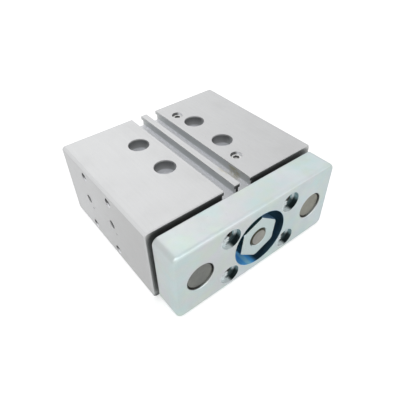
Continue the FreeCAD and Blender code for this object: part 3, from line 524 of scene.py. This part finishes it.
def top_hole_shade(w, place):
    """Mask of the shade in the top holes: far walls, darker near the mouth, and far floors."""
    far, far_right = (-0.1, 0.99, 0.0), (0.5, 0.86, 0.0)
    upward = w.facing("Z")
    depth = w.span(w.part(place, "Z"), TOP - 5.0 * MM, TOP - 1.0 * MM, to_low=0.35, to_high=0.95)
    shades = []
    for centre, radius in holes("top_holes"):
        away = w.shifted(place, centre)
        hole = w.inside(place, centre, radius + SOFT, axis="Z")
        wall = w.math("SUBTRACT", w.along(away, far, -0.6 * radius, 0.2 * radius), upward, clamp=True)
        floor = w.times(upward, w.along(away, far_right, 0.55 * radius, 1.2 * radius, 0.0, 0.35))
        shades.append(w.times(hole, w.most(w.times(wall, depth), floor)))
    return w.most(*shades)


def port_walls(w, place):
    """Masks of the walls of the top ports above their plugs: the lit ones and the far ones in shade."""
    far = (-0.2, 0.98, 0.0)
    above = w.span(w.part(place, "Z"), TOP - 4.0 * MM, TOP - 3.5 * MM)
    upright = w.rest(w.facing("Z"))
    lit, dark = [], []
    for name in PORT_PLUGS:
        low, high = node_box(name)
        radius = (high[0] - low[0]) / 2
        centre = (low + high) / 2
        wall = w.times(w.inside(place, centre, radius + 0.5 * MM, axis="Z"), upright, above)
        dark.append(w.times(wall, w.along(w.shifted(place, centre), far, 0.4 * radius, 0.8 * radius)))
        lit.append(w.math("SUBTRACT", wall, dark[-1]))
    return w.most(*lit), w.most(*dark)


def stain_patch(w, place, slot_floor):
    """Mask of dried oil near the front of the right slot: its walls, floor and left edge."""
    slot_x = MOUNTS["right_sensor_slot"]["pos_m"][0]
    across, along, height = (w.part(place, axis) for axis in "XYZ")
    near = w.times(w.within(along, FRONT + 7.0 * MM, FRONT + 12.0 * MM, 1.5 * MM),
                   w.within(across, slot_x - 3.5 * MM, slot_x + 4.0 * MM, 0.4 * MM))
    below = w.fall(height, TOP - 1.2 * MM, TOP - 0.6 * MM)
    left_edge = w.fall(across, slot_x - 2.6 * MM, slot_x - 2.5 * MM)
    held = w.times(w.span(height, slot_floor - 1.3 * MM, slot_floor - 0.7 * MM), w.most(below, left_edge))
    broken = w.span(w.noise(place, 450.0, detail=4.0), 0.36, 0.52)
    thin = w.rest(w.times(w.facing("Z"), 0.3), 0.6)
    return w.times(near, held, broken, thin)


def housing_finish(colours, sizes):
    """Clear anodised extrusion: drawing lines along Y, milled ends, painted shade on walls and painted
    light on floors in the holes and slots, painted light on the left of the top and its left edge, painted
    shade on the front of the sides and in the gap behind the plate, and a stain in one slot."""
    finish = metal("Anodised aluminium", colours.anodised, 0.55, stretch=(1.0, 0.03, 1.0), fineness=9000.0,
                   wear=0.35, marks=0.55, tone=0.035, edge=0.3)
    w, place = finish.w, finish.place
    across, along = w.part(place, "X"), w.part(place, "Y")
    ends = w.both("Y")
    finish.tint(colours.milled, ends, 0.7)
    cutter_centre = (HOUSING_HIGH[0] * 1.6, 0.0, HOUSING_HIGH[2] * 2.2)
    finish.rings(cutter_centre, 0.45, ends, 1.2)
    fleck = w.span(w.noise(place, 5200.0), 0.35, 0.7)
    finish.height = w.math("ADD", finish.height, w.times(fleck, 0.35))

    sunk = w.buried(place, HOUSING_LOW, HOUSING_HIGH, margin=0.6 * MM)
    top_shade = w.times(top_hole_shade(w, place), sunk)
    finish.tint(colours.cavity_wall, top_shade)
    # Painted shade in the locating holes in the sides
    for pattern in ("left_locators", "right_locators"):
        for centre, radius in holes(pattern):
            hole = w.inside(place, centre, radius + SOFT, axis="X")
            finish.tint(colours.cavity_wall, hole, sunk, 0.65)
    middle = w.within(across, 0.6 * HOUSING_LOW[0], 0.6 * HOUSING_HIGH[0])
    cavity = w.times(sunk, middle, w.rest(top_shade))
    # Painted shade on the sideways walls of the slots and holes in the middle
    sides = w.both("X")
    finish.tint(colours.slot_wall_shade, cavity, sides)
    # Painted light low in the slots, on upward faces in the middle holes and on the lit walls of the ports
    slot_floor = TOP - sizes.slot_depth
    low = w.fall(w.part(place, "Z"), slot_floor + 0.4 * MM, slot_floor + 1.2 * MM)
    port_lit, port_dark = port_walls(w, place)
    lit = w.most(w.times(cavity, w.most(low, w.facing("Z", 1.0, 0.5, 0.8))), port_lit)
    finish.tint(colours.cavity_painted_light, lit)
    # Painted shade on the far walls of the ports
    finish.tint(colours.cavity_wall, port_dark)
    finish.matt(lit, 0.75)

    open_face = w.rest(sunk)
    # Painted light on the left part of the top and on the top left edge
    left = w.fall(across, 0.6 * HOUSING_LOW[0], 0.4 * HOUSING_HIGH[0])
    left_edge = w.towards((-0.71, 0.0, 0.71))
    finish.tint(colours.anodised_painted_light, w.most(w.times(w.facing("Z"), left, open_face, 0.5), left_edge))
    # Painted shade on the sides, darker towards the front
    forward = w.span(along, FRONT, HOUSING_HIGH[1] - 10.0 * MM, to_low=0.5, to_high=0.0)
    finish.tint(colours.anodised_painted_shade, sides, forward, open_face)
    finish.tint(colours.stain, stain_patch(w, place, slot_floor))
    # Painted shade on the front face where the plate covers it, from an ambient occlusion mask
    front_face = w.fall(along, FRONT + 1.0 * MM, FRONT + 1.3 * MM)
    forwards = w.facing("Y", -1.0, 0.5, 0.7)
    finish.tint(colours.gap, forwards, front_face, w.tight(GAP_REACH))
    return finish.close()


def plate_finish(colours, sizes):
    """Blue passivated zinc with faint colour play. The bore has a blue floor, deepened as painted
    reflection, and a wall in dark blue painted shade, with a painted highlight patch and streak low on its
    left. The tool holes have painted shade, with painted light on their floors, high on their walls and low
    on their left. To the right the top has painted light and the front painted shade, and the rear has
    painted shade, darkest in the gap."""
    left, lower_left, highlight_side = (-0.9, 0.0, 0.43), (-0.53, 0.0, -0.85), (-0.36, 0.0, -0.93)
    tool_left, tool_right = (-0.8, 0.0, -0.6), (0.84, 0.0, 0.55)
    finish = metal("Passivated zinc", colours.zinc, 0.36, fineness=2600.0, wear=0.25, marks=0.7, tone=0.04,
                   edge=0.5)
    w, place = finish.w, finish.place
    front = w.facing("Y", -1.0)
    walls = w.rest(front)
    # Painted light on the right of the top and on the top front edge, painted shade on the right of the
    # front
    right = w.span(w.part(place, "X"), -0.3 * PLATE_HIGH[0], 0.7 * PLATE_HIGH[0])
    top_front_edge = w.towards((0.0, -0.5, 0.87), 0.88, 0.97)
    finish.tint(colours.zinc_painted_light, w.facing("Z"), right)
    finish.tint(colours.zinc_painted_shade, front, right)
    finish.tint(colours.zinc_painted_light, top_front_edge)
    finish.play(0.32)

    bore = w.inside(place, CENTRE, sizes.bore / 2 + SOFT)
    bore_floor = w.times(bore, front)
    bore_wall = w.times(bore, walls)
    around = w.around(place, CENTRE)
    # Blue passivated floor, its blue deepened as painted reflection of the walls
    finish.tint(colours.blue_zinc_and_reflection, bore_floor)
    # Painted shade in dark blue on the bore's wall and on the left of its floor
    finish.tint(colours.bore_wall_shade, bore_wall)
    finish.tint(colours.bore_wall_shade, bore_floor, w.along(around, left, 0.2, 0.7))
    # Painted highlight: a bright blue patch low on the left of the wall
    lit = w.times(bore_wall, w.along(around, lower_left, 0.84, 0.95))
    finish.tint(colours.bore_highlight, lit)
    # Painted highlight: a sky blue streak along the wall
    finish.tint(colours.bore_streak_highlight, bore_wall, w.along(around, highlight_side, 0.985, 0.999))
    pale = w.times(w.most(lit, bore_floor), 0.88)
    sunk = bore
    for centre, radius in holes("tool_locators"):
        hole = w.inside(place, centre, radius + SOFT)
        around = w.around(place, centre)
        lit = w.times(hole, w.most(w.along(around, tool_left, 0.25, 0.6), front))
        high = w.times(hole, w.along(around, tool_right, 0.5, 0.9))
        # Painted shade on the walls, painted light high on the walls, low on the left and on the floor, and
        # painted shade on the floor's lower right
        finish.tint(colours.zinc_wall, hole, walls)
        finish.tint(colours.tool_hole_upper_light, high, walls)
        finish.tint(colours.tool_hole_light, lit)
        finish.tint(colours.zinc_wall, hole, front, w.along(around, LOWER_RIGHT, 0.6, 0.95))
        pale = w.most(pale, w.times(w.most(lit, high), 0.85))
        sunk = w.most(sunk, hole)
    finish.matt(pale)
    # Painted shade on the walls of the guide rod holes, weaker to the lower right
    for centre in GUIDE_CENTRES:
        hole = w.inside(place, centre, GUIDE_RADIUS + SOFT)
        open_wall = w.along(w.around(place, centre), LOWER_RIGHT, 0.75, 0.97, 1.0, 0.35)
        finish.tint(colours.cavity_wall, hole, walls, open_wall)

    # Painted shade on the rear face, darker still where the housing covers it
    rear = w.facing("Y")
    finish.tint(colours.zinc_rear_shade, rear)
    finish.tint(colours.gap, rear, w.tight(GAP_REACH))
    finish.rough = w.times(finish.rough, w.rest(w.times(sunk, front, 0.4)))
    finish.rings(CENTRE, 0.3, bore_floor, 0.6)
    return finish.close()


def nut_finish(colours, sizes):
    """Bright zinc on the nuts: a turned front face with pale colour play, flats with blue and green painted
    reflections, and painted shade on the upper left of the countersink."""
    finish = metal("Bright zinc", colours.nut, 0.26, fineness=5200.0, relief=0.003, tone=0.05)
    w, place = finish.w, finish.place
    finish.play(0.12)
    front = w.facing("Y", -1.0, 0.7, 0.9)
    slanted = w.rest(front)
    left_flats, right_flat = (-0.8, 0.0, 0.6), (0.7, 0.0, 0.7)
    # Painted reflections: blue on the slanted faces and green on the left flats
    finish.tint(colours.nut_flat_reflection, slanted)
    finish.tint(colours.nut_left_reflection, w.towards(left_flats, 0.7, 0.9))
    finish.matt(w.towards(right_flat, 0.8, 0.95), 0.7)
    mouth = w.times(slanted, w.inside(place, CENTRE, sizes.nut_mouth))
    upper = w.along(w.shifted(place, CENTRE), UPPER_LEFT, -1.0 * MM, 1.0 * MM)
    finish.tint(colours.nut, mouth)
    # Painted shade on the upper left of the countersink
    finish.tint(colours.rim_shade, mouth, upper)
    finish.rings(CENTRE, 0.25, front, 0.7)
    return finish.close()


def rod_finish(name, colour, roughness, centres, left_end, right_end):
    """Ground rods under way: dull cloudy ends, one colour on the left and one on the right."""
    finish = metal(name, colour, roughness, fineness=9000.0, relief=0.002, wear=0.2, marks=0.4, tone=0.05)
    w, place = finish.w, finish.place
    ends = w.both("Y")
    cloud = w.span(w.noise(place, 260.0, detail=4.0, roughness=0.65), 0.3, 0.7)
    sawn = w.mix(w.span(w.part(place, "X"), -GUIDE_X, GUIDE_X), left_end, right_end)
    finish.tint(w.mix(cloud, sawn, w.mix(1.0, sawn, CLOUD, "MULTIPLY")), ends)
    finish.rough = w.math("ADD", finish.rough, w.times(ends, 0.28))
    for centre in centres:
        finish.rings(centre, 0.4, ends, w.inside(place, centre, 1.2 * GUIDE_RADIUS), 1.5)
    return finish


def piston_rod_finish(colours, sizes):
    """Stainless piston rod with painted shade on the upper left of its front end, outside a round face."""
    finish = rod_finish("Stainless rod", colours.rod, 0.2, [CENTRE], colours.rod_end, colours.rod_end)
    w, place = finish.w, finish.place
    # Painted shade on the upper left of the front end, outside the round face
    outer = w.rest(w.inside(place, CENTRE, sizes.rod_face, 0.15 * MM))
    upper = w.along(w.shifted(place, CENTRE), UPPER_LEFT, -sizes.rod_face, 0.0)
    tip = w.fall(w.part(place, "Y"), ROD_LOW[1] + 2.0 * MM, ROD_LOW[1] + 3.0 * MM)
    finish.tint(colours.rim_shade, outer, upper, tip)
    return finish.close()


def turned_finish(name, colour, roughness):
    """Turned metal: rings round the cylinder axis on faces, lines round it on skins."""
    finish = metal(name, colour, roughness, stretch=(0.15, 1.0, 0.15), fineness=8000.0, wear=0.35,
                   tone=0.08)
    finish.rings(CENTRE, 0.3, finish.w.both("Y"))
    return finish.close()


def plug_finish(colours, sizes):
    """Bright set screws in the top ports: pale faces round hexagon sockets with painted shade on their
    walls.
    """
    finish = metal("Plug steel", colours.plug, 0.4, fineness=7000.0, relief=0.002, wear=0.4, marks=0.3,
                   edge=0.15)
    w = finish.w
    upward = w.facing("Z")
    for name in PORT_PLUGS:
        socket = w.inside(finish.place, sum(node_box(name)) / 2, sizes.socket, axis="Z")
        # Painted shade on the socket walls
        finish.tint(colours.thread, socket, w.rest(upward))
    finish.matt(upward, 0.9)
    return finish.close()


def bronze_finish(colours):
    """Oiled sintered bronze: fine open pores and darker oily clouds."""
    finish = metal("Sintered bronze", colours.bronze, 0.38, fineness=4200.0, relief=0.006, marks=0.4,
                   tone=0.2)
    w = finish.w
    pores = w.span(w.noise(finish.place, 3800.0, detail=1.0), 0.62, 0.7)
    finish.tint(PORE, pores, 0.8)
    finish.height = w.math("SUBTRACT", finish.height, pores)
    clouds = w.span(w.noise(finish.place, 160.0, detail=3.0), 0.4, 0.7)
    finish.tint(OIL, clouds, 0.3)
    return finish.close()


def cut_thread_finish(colours):
    """Anodised thread flanks in painted shade, with painted light where they look up."""
    finish = metal("Cut thread", colours.thread, 0.3, stretch=(0.3, 0.3, 0.3), fineness=7000.0,
                   relief=0.003, marks=0.4, tone=0.08, edge=0.1)
    finish.tint(colours.cavity_painted_light, finish.w.facing("Z", 1.0, 0.2, 0.6))
    return finish.close()


def plated_thread_finish(colours):
    """Zinc in painted shade in the tool threads, with painted light on flanks to the upper right and low in
    each hole.
    """
    right_up, bottom = (0.8, 0.0, 0.6), (-0.25, 0.0, -0.97)
    finish = metal("Plated thread", colours.tool_thread_shade, 0.24, relief=0.003, wear=0.1, marks=0.4, tone=0.08,
                   edge=0.1)
    w, place = finish.w, finish.place
    lit = [w.towards(right_up, 0.55, 0.9)]
    for centre, radius in holes("tool_threads"):
        hole = w.inside(place, centre, 2.0 * radius)
        lit.append(w.times(hole, w.along(w.around(place, centre), bottom, 0.6, 0.9)))
    lit = w.most(*lit)
    finish.tint(colours.tool_hole_light, lit)
    finish.matt(lit, 0.85)
    return finish.close()


# Geometry

def thread_ring(mouth, inward, depth, root, height, pitch, around):
    """Vertices and faces of a closed ring with an internal 60-degree thread.

    At the angle t and the depth y the radius is root - height * h, where h rises in a straight line
    from nought to one as the triangle wave of (y / pitch - t / turn) goes from an eighth to three
    quarters. It is never less than root - y, the countersink. The grid's rows follow the helix, held
    between nought and the depth, and its last column joins the first one pitch on. Two more rows at
    a slightly larger radius close the ring from outside.
    """
    u = np.array((0.0, 0.0, 1.0)) if abs(inward[2]) < 0.5 else np.array((1.0, 0.0, 0.0))
    v = np.cross(inward, u)
    # A pitch's share at which a flank leaves the crest, reaches the root, leaves it and reaches the crest
    breaks = np.array((1 / 8, 7 / 16, 9 / 16, 7 / 8))
    turns = int(math.ceil(depth / pitch)) + 1
    level = (np.arange(-2, turns)[:, None] + breaks).ravel()
    turn = np.arange(around) / around
    y = np.clip(pitch * (level[:, None] + turn), 0.0, depth)
    wave = np.abs(2.0 * ((y / pitch - turn) % 1.0) - 1.0)
    rise = np.clip((wave - 1 / 8) / (5 / 8), 0.0, 1.0)
    radius = np.maximum(root - height * rise, root - y)
    shell = root + 0.02 * MM
    y = np.vstack((y, np.full(around, depth), np.zeros(around)))
    radius = np.vstack((radius, np.full((2, around), shell)))
    turned = 2.0 * np.pi * turn[:, None]
    points = mouth + y[..., None] * inward + radius[..., None] * (np.cos(turned) * u + np.sin(turned) * v)
    index = np.arange(y.size).reshape(y.shape)
    inner = index[:-2]
    last = inner[:-len(breaks), -1]
    first = inner[len(breaks):, 0]
    quads = [(inner[:-1, :-1], inner[:-1, 1:], inner[1:, 1:], inner[1:, :-1]),
             (last[:-1], first[:-1], first[1:], last[1:])]
    for upper, lower in ((index[-3], index[-2]), (index[-2], index[-1]), (index[-1], index[0])):
        quads.append((upper, np.roll(upper, -1), np.roll(lower, -1), lower))
    return points.reshape(-1, 3), np.vstack([np.stack(quad, -1).reshape(-1, 4) for quad in quads])


def add_mesh(name, points, faces, material, body):
    """A piece from points and faces, merged, turned outwards and smooth below 30 degrees."""
    mesh = bpy.data.meshes.new(name)
    mesh.from_pydata(points.tolist(), [], faces.tolist())
    work = bmesh.new()
    work.from_mesh(mesh)
    bmesh.ops.remove_doubles(work, verts=work.verts, dist=0.002 * MM)
    bmesh.ops.dissolve_degenerate(work, edges=work.edges, dist=0.001 * MM)
    bmesh.ops.recalc_face_normals(work, faces=work.faces)
    work.to_mesh(mesh)
    work.free()
    mesh.shade_smooth()
    mesh.set_sharp_from_angle(angle=math.radians(30.0))
    mesh.materials.append(material)
    piece = add_object(name, mesh)
    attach(piece, body)


def add_threads(pattern, material, body, slot, around, sunk, depth, pitch, height):
    """Thread rings in every hole of a pattern, sunk that far below the pattern's face."""
    outward = np.array(MOUNTS[pattern]["axis"], dtype=float)
    for number, (centre, radius) in enumerate(holes(pattern), start=1):
        mouth, root = centre - outward * sunk, radius - 0.03 * MM
        points, faces = thread_ring(mouth, -outward, depth, root, height, pitch, around)
        add_mesh(f"{pattern}_{number}", points, faces, material, body)


def dress(material, *nodes):
    """Gives CAD nodes one material."""
    for name in nodes:
        node = frame["nodes"][name]
        node.data.materials.clear()
        node.data.materials.append(material)


def settings(context):
    """The colours and the sizes that the scene holds."""
    return context.scene.cylinder_colours, context.scene.cylinder_sizes


class DressHousing(bpy.types.Operator):
    """Anodised finish on the housing and turned finish on its two caps"""

    bl_idname = "cylinder.dress_housing"
    bl_label = "Housing"

    def execute(self, context):
        colours, sizes = settings(context)
        dress(housing_finish(colours, sizes), "housing")
        dress(turned_finish("Turned aluminium", colours.milled, 0.34), "front_cap", "rear_cap")
        return {"FINISHED"}


class DressPlate(bpy.types.Operator):
    """Passivated zinc on the yoke plate and bright zinc on the nuts"""

    bl_idname = "cylinder.dress_plate"
    bl_label = "Yoke plate"

    def execute(self, context):
        colours, sizes = settings(context)
        dress(plate_finish(colours, sizes), "yoke_plate")
        dress(nut_finish(colours, sizes), "rod_nut", "piston_nut")
        return {"FINISHED"}


class DressRods(bpy.types.Operator):
    """Chromed guide rods and stainless piston rod"""

    bl_idname = "cylinder.dress_rods"
    bl_label = "Rods"

    def execute(self, context):
        colours, sizes = settings(context)
        chrome = rod_finish("Hard chrome", colours.chrome, 0.12, GUIDE_CENTRES, colours.guide_end,
                            colours.guide_warm)
        dress(chrome.close(), "left_guide_rod", "right_guide_rod")
        dress(piston_rod_finish(colours, sizes), "piston_rod")
        return {"FINISHED"}


class DressPiston(bpy.types.Operator):
    """Finishes of the piston and of the rings and pads on it"""

    bl_idname = "cylinder.dress_piston"
    bl_label = "Piston"

    def execute(self, context):
        colours, _ = settings(context)
        aluminium = turned_finish("Piston aluminium", colours.milled, 0.26)
        magnet = moulded("Magnet compound", colours.magnet, 0.55, fineness=3600.0, relief=0.012)
        acetal = moulded("Acetal", colours.acetal, 0.4, fineness=2200.0, relief=0.006, dust=0.1)
        urethane = moulded("Polyurethane", colours.urethane, 0.32, fineness=1800.0, relief=0.005, dust=0.1,
                           coat=0.15)
        dress(aluminium, "piston_front_half", "piston_rear_half")
        dress(magnet, "piston_magnet")
        dress(acetal, "piston_wear_ring")
        dress(urethane, "front_piston_seal", "rear_piston_seal", "rod_seal", "front_bumper", "rear_bumper")
        return {"FINISHED"}


class DressFittings(bpy.types.Operator):
    """Bushes, wipers, O-rings, circlips and port plugs"""

    bl_idname = "cylinder.dress_fittings"
    bl_label = "Fittings"

    def execute(self, context):
        colours, sizes = settings(context)
        dress(bronze_finish(colours), "left_front_guide_bush", "left_rear_guide_bush",
              "right_front_guide_bush", "right_rear_guide_bush", "rod_bush")
        rubber = moulded("Nitrile rubber", colours.rubber, 0.5, fineness=3000.0, relief=0.012)
        dress(rubber, "left_guide_wiper", "right_guide_wiper", "front_cap_o_ring", "rear_cap_o_ring")
        steel = metal("Phosphated steel", colours.spring, 0.45, fineness=7000.0, wear=0.4, marks=0.6,
                      tone=0.12, edge=0.15)
        dress(steel.close(), "front_circlip", "rear_circlip")
        dress(plug_finish(colours, sizes), *PORT_PLUGS)
        return {"FINISHED"}


class CutThreads(bpy.types.Operator):
    """Threads in the sides, the side ports, the underside and the tool holes"""

    bl_idname = "cylinder.cut_threads"
    bl_label = "Threads"

    def execute(self, context):
        colours, sizes = settings(context)
        m4 = (sizes.side_pitch, sizes.side_height)
        m5 = (sizes.pitch, sizes.height)
        m6 = (sizes.base_pitch, sizes.base_height)
        bare = (cut_thread_finish(colours), FIXED, "housing_anodised", sizes.around)
        plated = (plated_thread_finish(colours), SLIDING, "zinc_plated_steel", sizes.around)
        for pattern in ("left_threads", "right_threads"):
            add_threads(pattern, *bare, sizes.side_mouth, sizes.side_depth, *m4)
        add_threads("supply_ports", *bare, sizes.mouth, sizes.port_depth, *m5)
        add_threads("base_holes", *bare, sizes.mouth, sizes.base_depth, *m6)
        face_depth = MOUNTS["tool_threads"]["pos_m"][1] - PLATE_LOW[1]
        start = sizes.sink + sizes.mouth
        depth = PLATE_HIGH[1] - PLATE_LOW[1] - start - 0.1 * MM
        add_threads("tool_threads", *plated, start - face_depth, depth, *m5)
        return {"FINISHED"}


class SetStage(bpy.types.Operator):
    """White floor and surround, three softboxes and the camera"""

    bl_idname = "cylinder.set_stage"
    bl_label = "Stage"

    def execute(self, context):
        stage = context.scene.cylinder_stage
        add_surround(context.scene, stage)
        add_floor(stage)
        add_softbox("Key softbox", place=(-0.32, -0.3, 0.5), size=0.42, power=stage.key_power)
        add_softbox("Fill softbox", place=(0.04, -0.66, 0.3), size=0.7, power=stage.fill_power)
        add_softbox("Back softbox", place=(0.14, 0.49, 0.47), size=0.6, power=stage.back_power)
        add_camera(context.scene, stage)
        context.scene.view_settings.view_transform = "Standard"
        return {"FINISHED"}


def seen_white(w, mirrored):
    """One for rays from the camera or through glass, a share for mirrored ones, else nought."""
    path = w.node("ShaderNodeLightPath").outputs
    mirror = w.times(path["Is Glossy Ray"], mirrored)
    return w.most(path["Is Camera Ray"], path["Is Transmission Ray"], mirror)


def add_surround(scene, stage):
    """World that is white to the camera and a soft gradient, brighter overhead, to the object."""
    world = bpy.data.worlds.new("Surround")
    w = emptied(world)
    up = w.part(w.node("ShaderNodeTexCoord").outputs["Generated"], "Z")
    below, overhead = 0.8 * stage.world_level, 1.1 * stage.world_level
    level = w.span(up, -0.2, 1.0, below, overhead, kind="LINEAR")
    strength = w.most(level, seen_white(w, stage.world_mirrored))
    background = w.feed_all(w.node("ShaderNodeBackground"), (1.0, 1.0, 1.0, 1.0), strength)
    w.feed_all(w.node("ShaderNodeOutputWorld"), background.outputs[0])
    scene.world = world


def add_floor(stage):
    """Large white sheet just under the object, with light of its own for the camera."""
    reach = 4.0
    level = HOUSING_LOW[2] - 0.05 * MM
    corners = [(x * reach, y * reach, level) for x, y in ((-1, -1), (1, -1), (1, 1), (-1, 1))]
    mesh = bpy.data.meshes.new("Floor")
    mesh.from_pydata(corners, [], [(0, 1, 2, 3)])
    floor = add_object("Floor", mesh)
    finish = Finish("Floor sheet", None, 0.9)
    w, shader = finish.w, finish.shader
    tone = w.span(w.noise(finish.place, 6.0), 0.3, 0.7, stage.floor_level, stage.floor_level * 1.01)
    finish.shade = w.spread(tone)
    shader.inputs["Specular IOR Level"].default_value = 0.0
    shader.inputs["Emission Strength"].default_value = stage.floor_glow
    w.feed(shader.inputs["Emission Color"], w.spread(seen_white(w, stage.floor_mirrored)))
    mesh.materials.append(finish.close())


def add_softbox(name, place, size, power):
    """Square area lamp that faces the object."""
    lamp = bpy.data.lights.new(name, "AREA")
    lamp.size = size
    lamp.energy = power
    aim = Vector(CENTRE) - Vector(place)
    turned = aim.to_track_quat("-Z", "Y").to_matrix().to_4x4()
    add_object(name, lamp).matrix_world = Matrix.Translation(place) @ turned


def add_camera(scene, stage):
    """Camera that looks at the target, turned, tilted and rolled about it."""
    lens = bpy.data.cameras.new("Camera")
    lens.lens = stage.lens
    lens.sensor_width = 36.0
    lens.clip_start = 10.0 * MM
    camera = add_object("Camera", lens)
    tilt = Matrix.Rotation(math.pi / 2 - stage.elevation, 4, "X")
    aimed = Matrix.Rotation(stage.azimuth, 4, "Z") @ tilt @ Matrix.Rotation(stage.roll, 4, "Z")
    away = Matrix.Translation((0.0, 0.0, stage.distance))
    camera.matrix_world = Matrix.Translation(stage.target) @ aimed @ away
    scene.camera = camera


class CylinderPanel(bpy.types.Panel):
    """Sidebar panel with the settings and a button for each step"""

    bl_idname = "VIEW3D_PT_cylinder"
    bl_label = "Guided air cylinder"
    bl_space_type = "VIEW_3D"
    bl_region_type = "UI"
    bl_category = "Cylinder"

    def draw(self, context):
        for settings_name, group in SETTINGS.items():
            column = self.layout.column(align=True)
            for name in group.__annotations__:
                column.prop(getattr(context.scene, settings_name), name)
        for step in STEPS:
            self.layout.operator(step.bl_idname)


SETTINGS = {"cylinder_colours": CylinderColours, "cylinder_sizes": CylinderSizes,
            "cylinder_stage": CylinderStage}
STEPS = (DressHousing, DressPlate, DressRods, DressPiston, DressFittings, CutThreads, SetStage)
CLASSES = (*SETTINGS.values(), *STEPS, CylinderPanel)


def register():
    """Registers the classes and hangs the settings on the scene."""
    for made in CLASSES:
        bpy.utils.register_class(made)
    for name, group in SETTINGS.items():
        setattr(bpy.types.Scene, name, PointerProperty(type=group))


def unregister():
    """Takes away what register added."""
    for name in SETTINGS:
        delattr(bpy.types.Scene, name)
    for made in reversed(CLASSES):
        bpy.utils.unregister_class(made)


def main():
    """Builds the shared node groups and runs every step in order."""
    register()
    for build in (build_edge_wear, build_grain, build_handling, build_colour_play, build_rings):
        build()
    bpy.ops.cylinder.dress_housing()
    bpy.ops.cylinder.dress_plate()
    bpy.ops.cylinder.dress_rods()
    bpy.ops.cylinder.dress_piston()
    bpy.ops.cylinder.dress_fittings()
    bpy.ops.cylinder.cut_threads()
    bpy.ops.cylinder.set_stage()


if __name__ == "__main__":
    main()
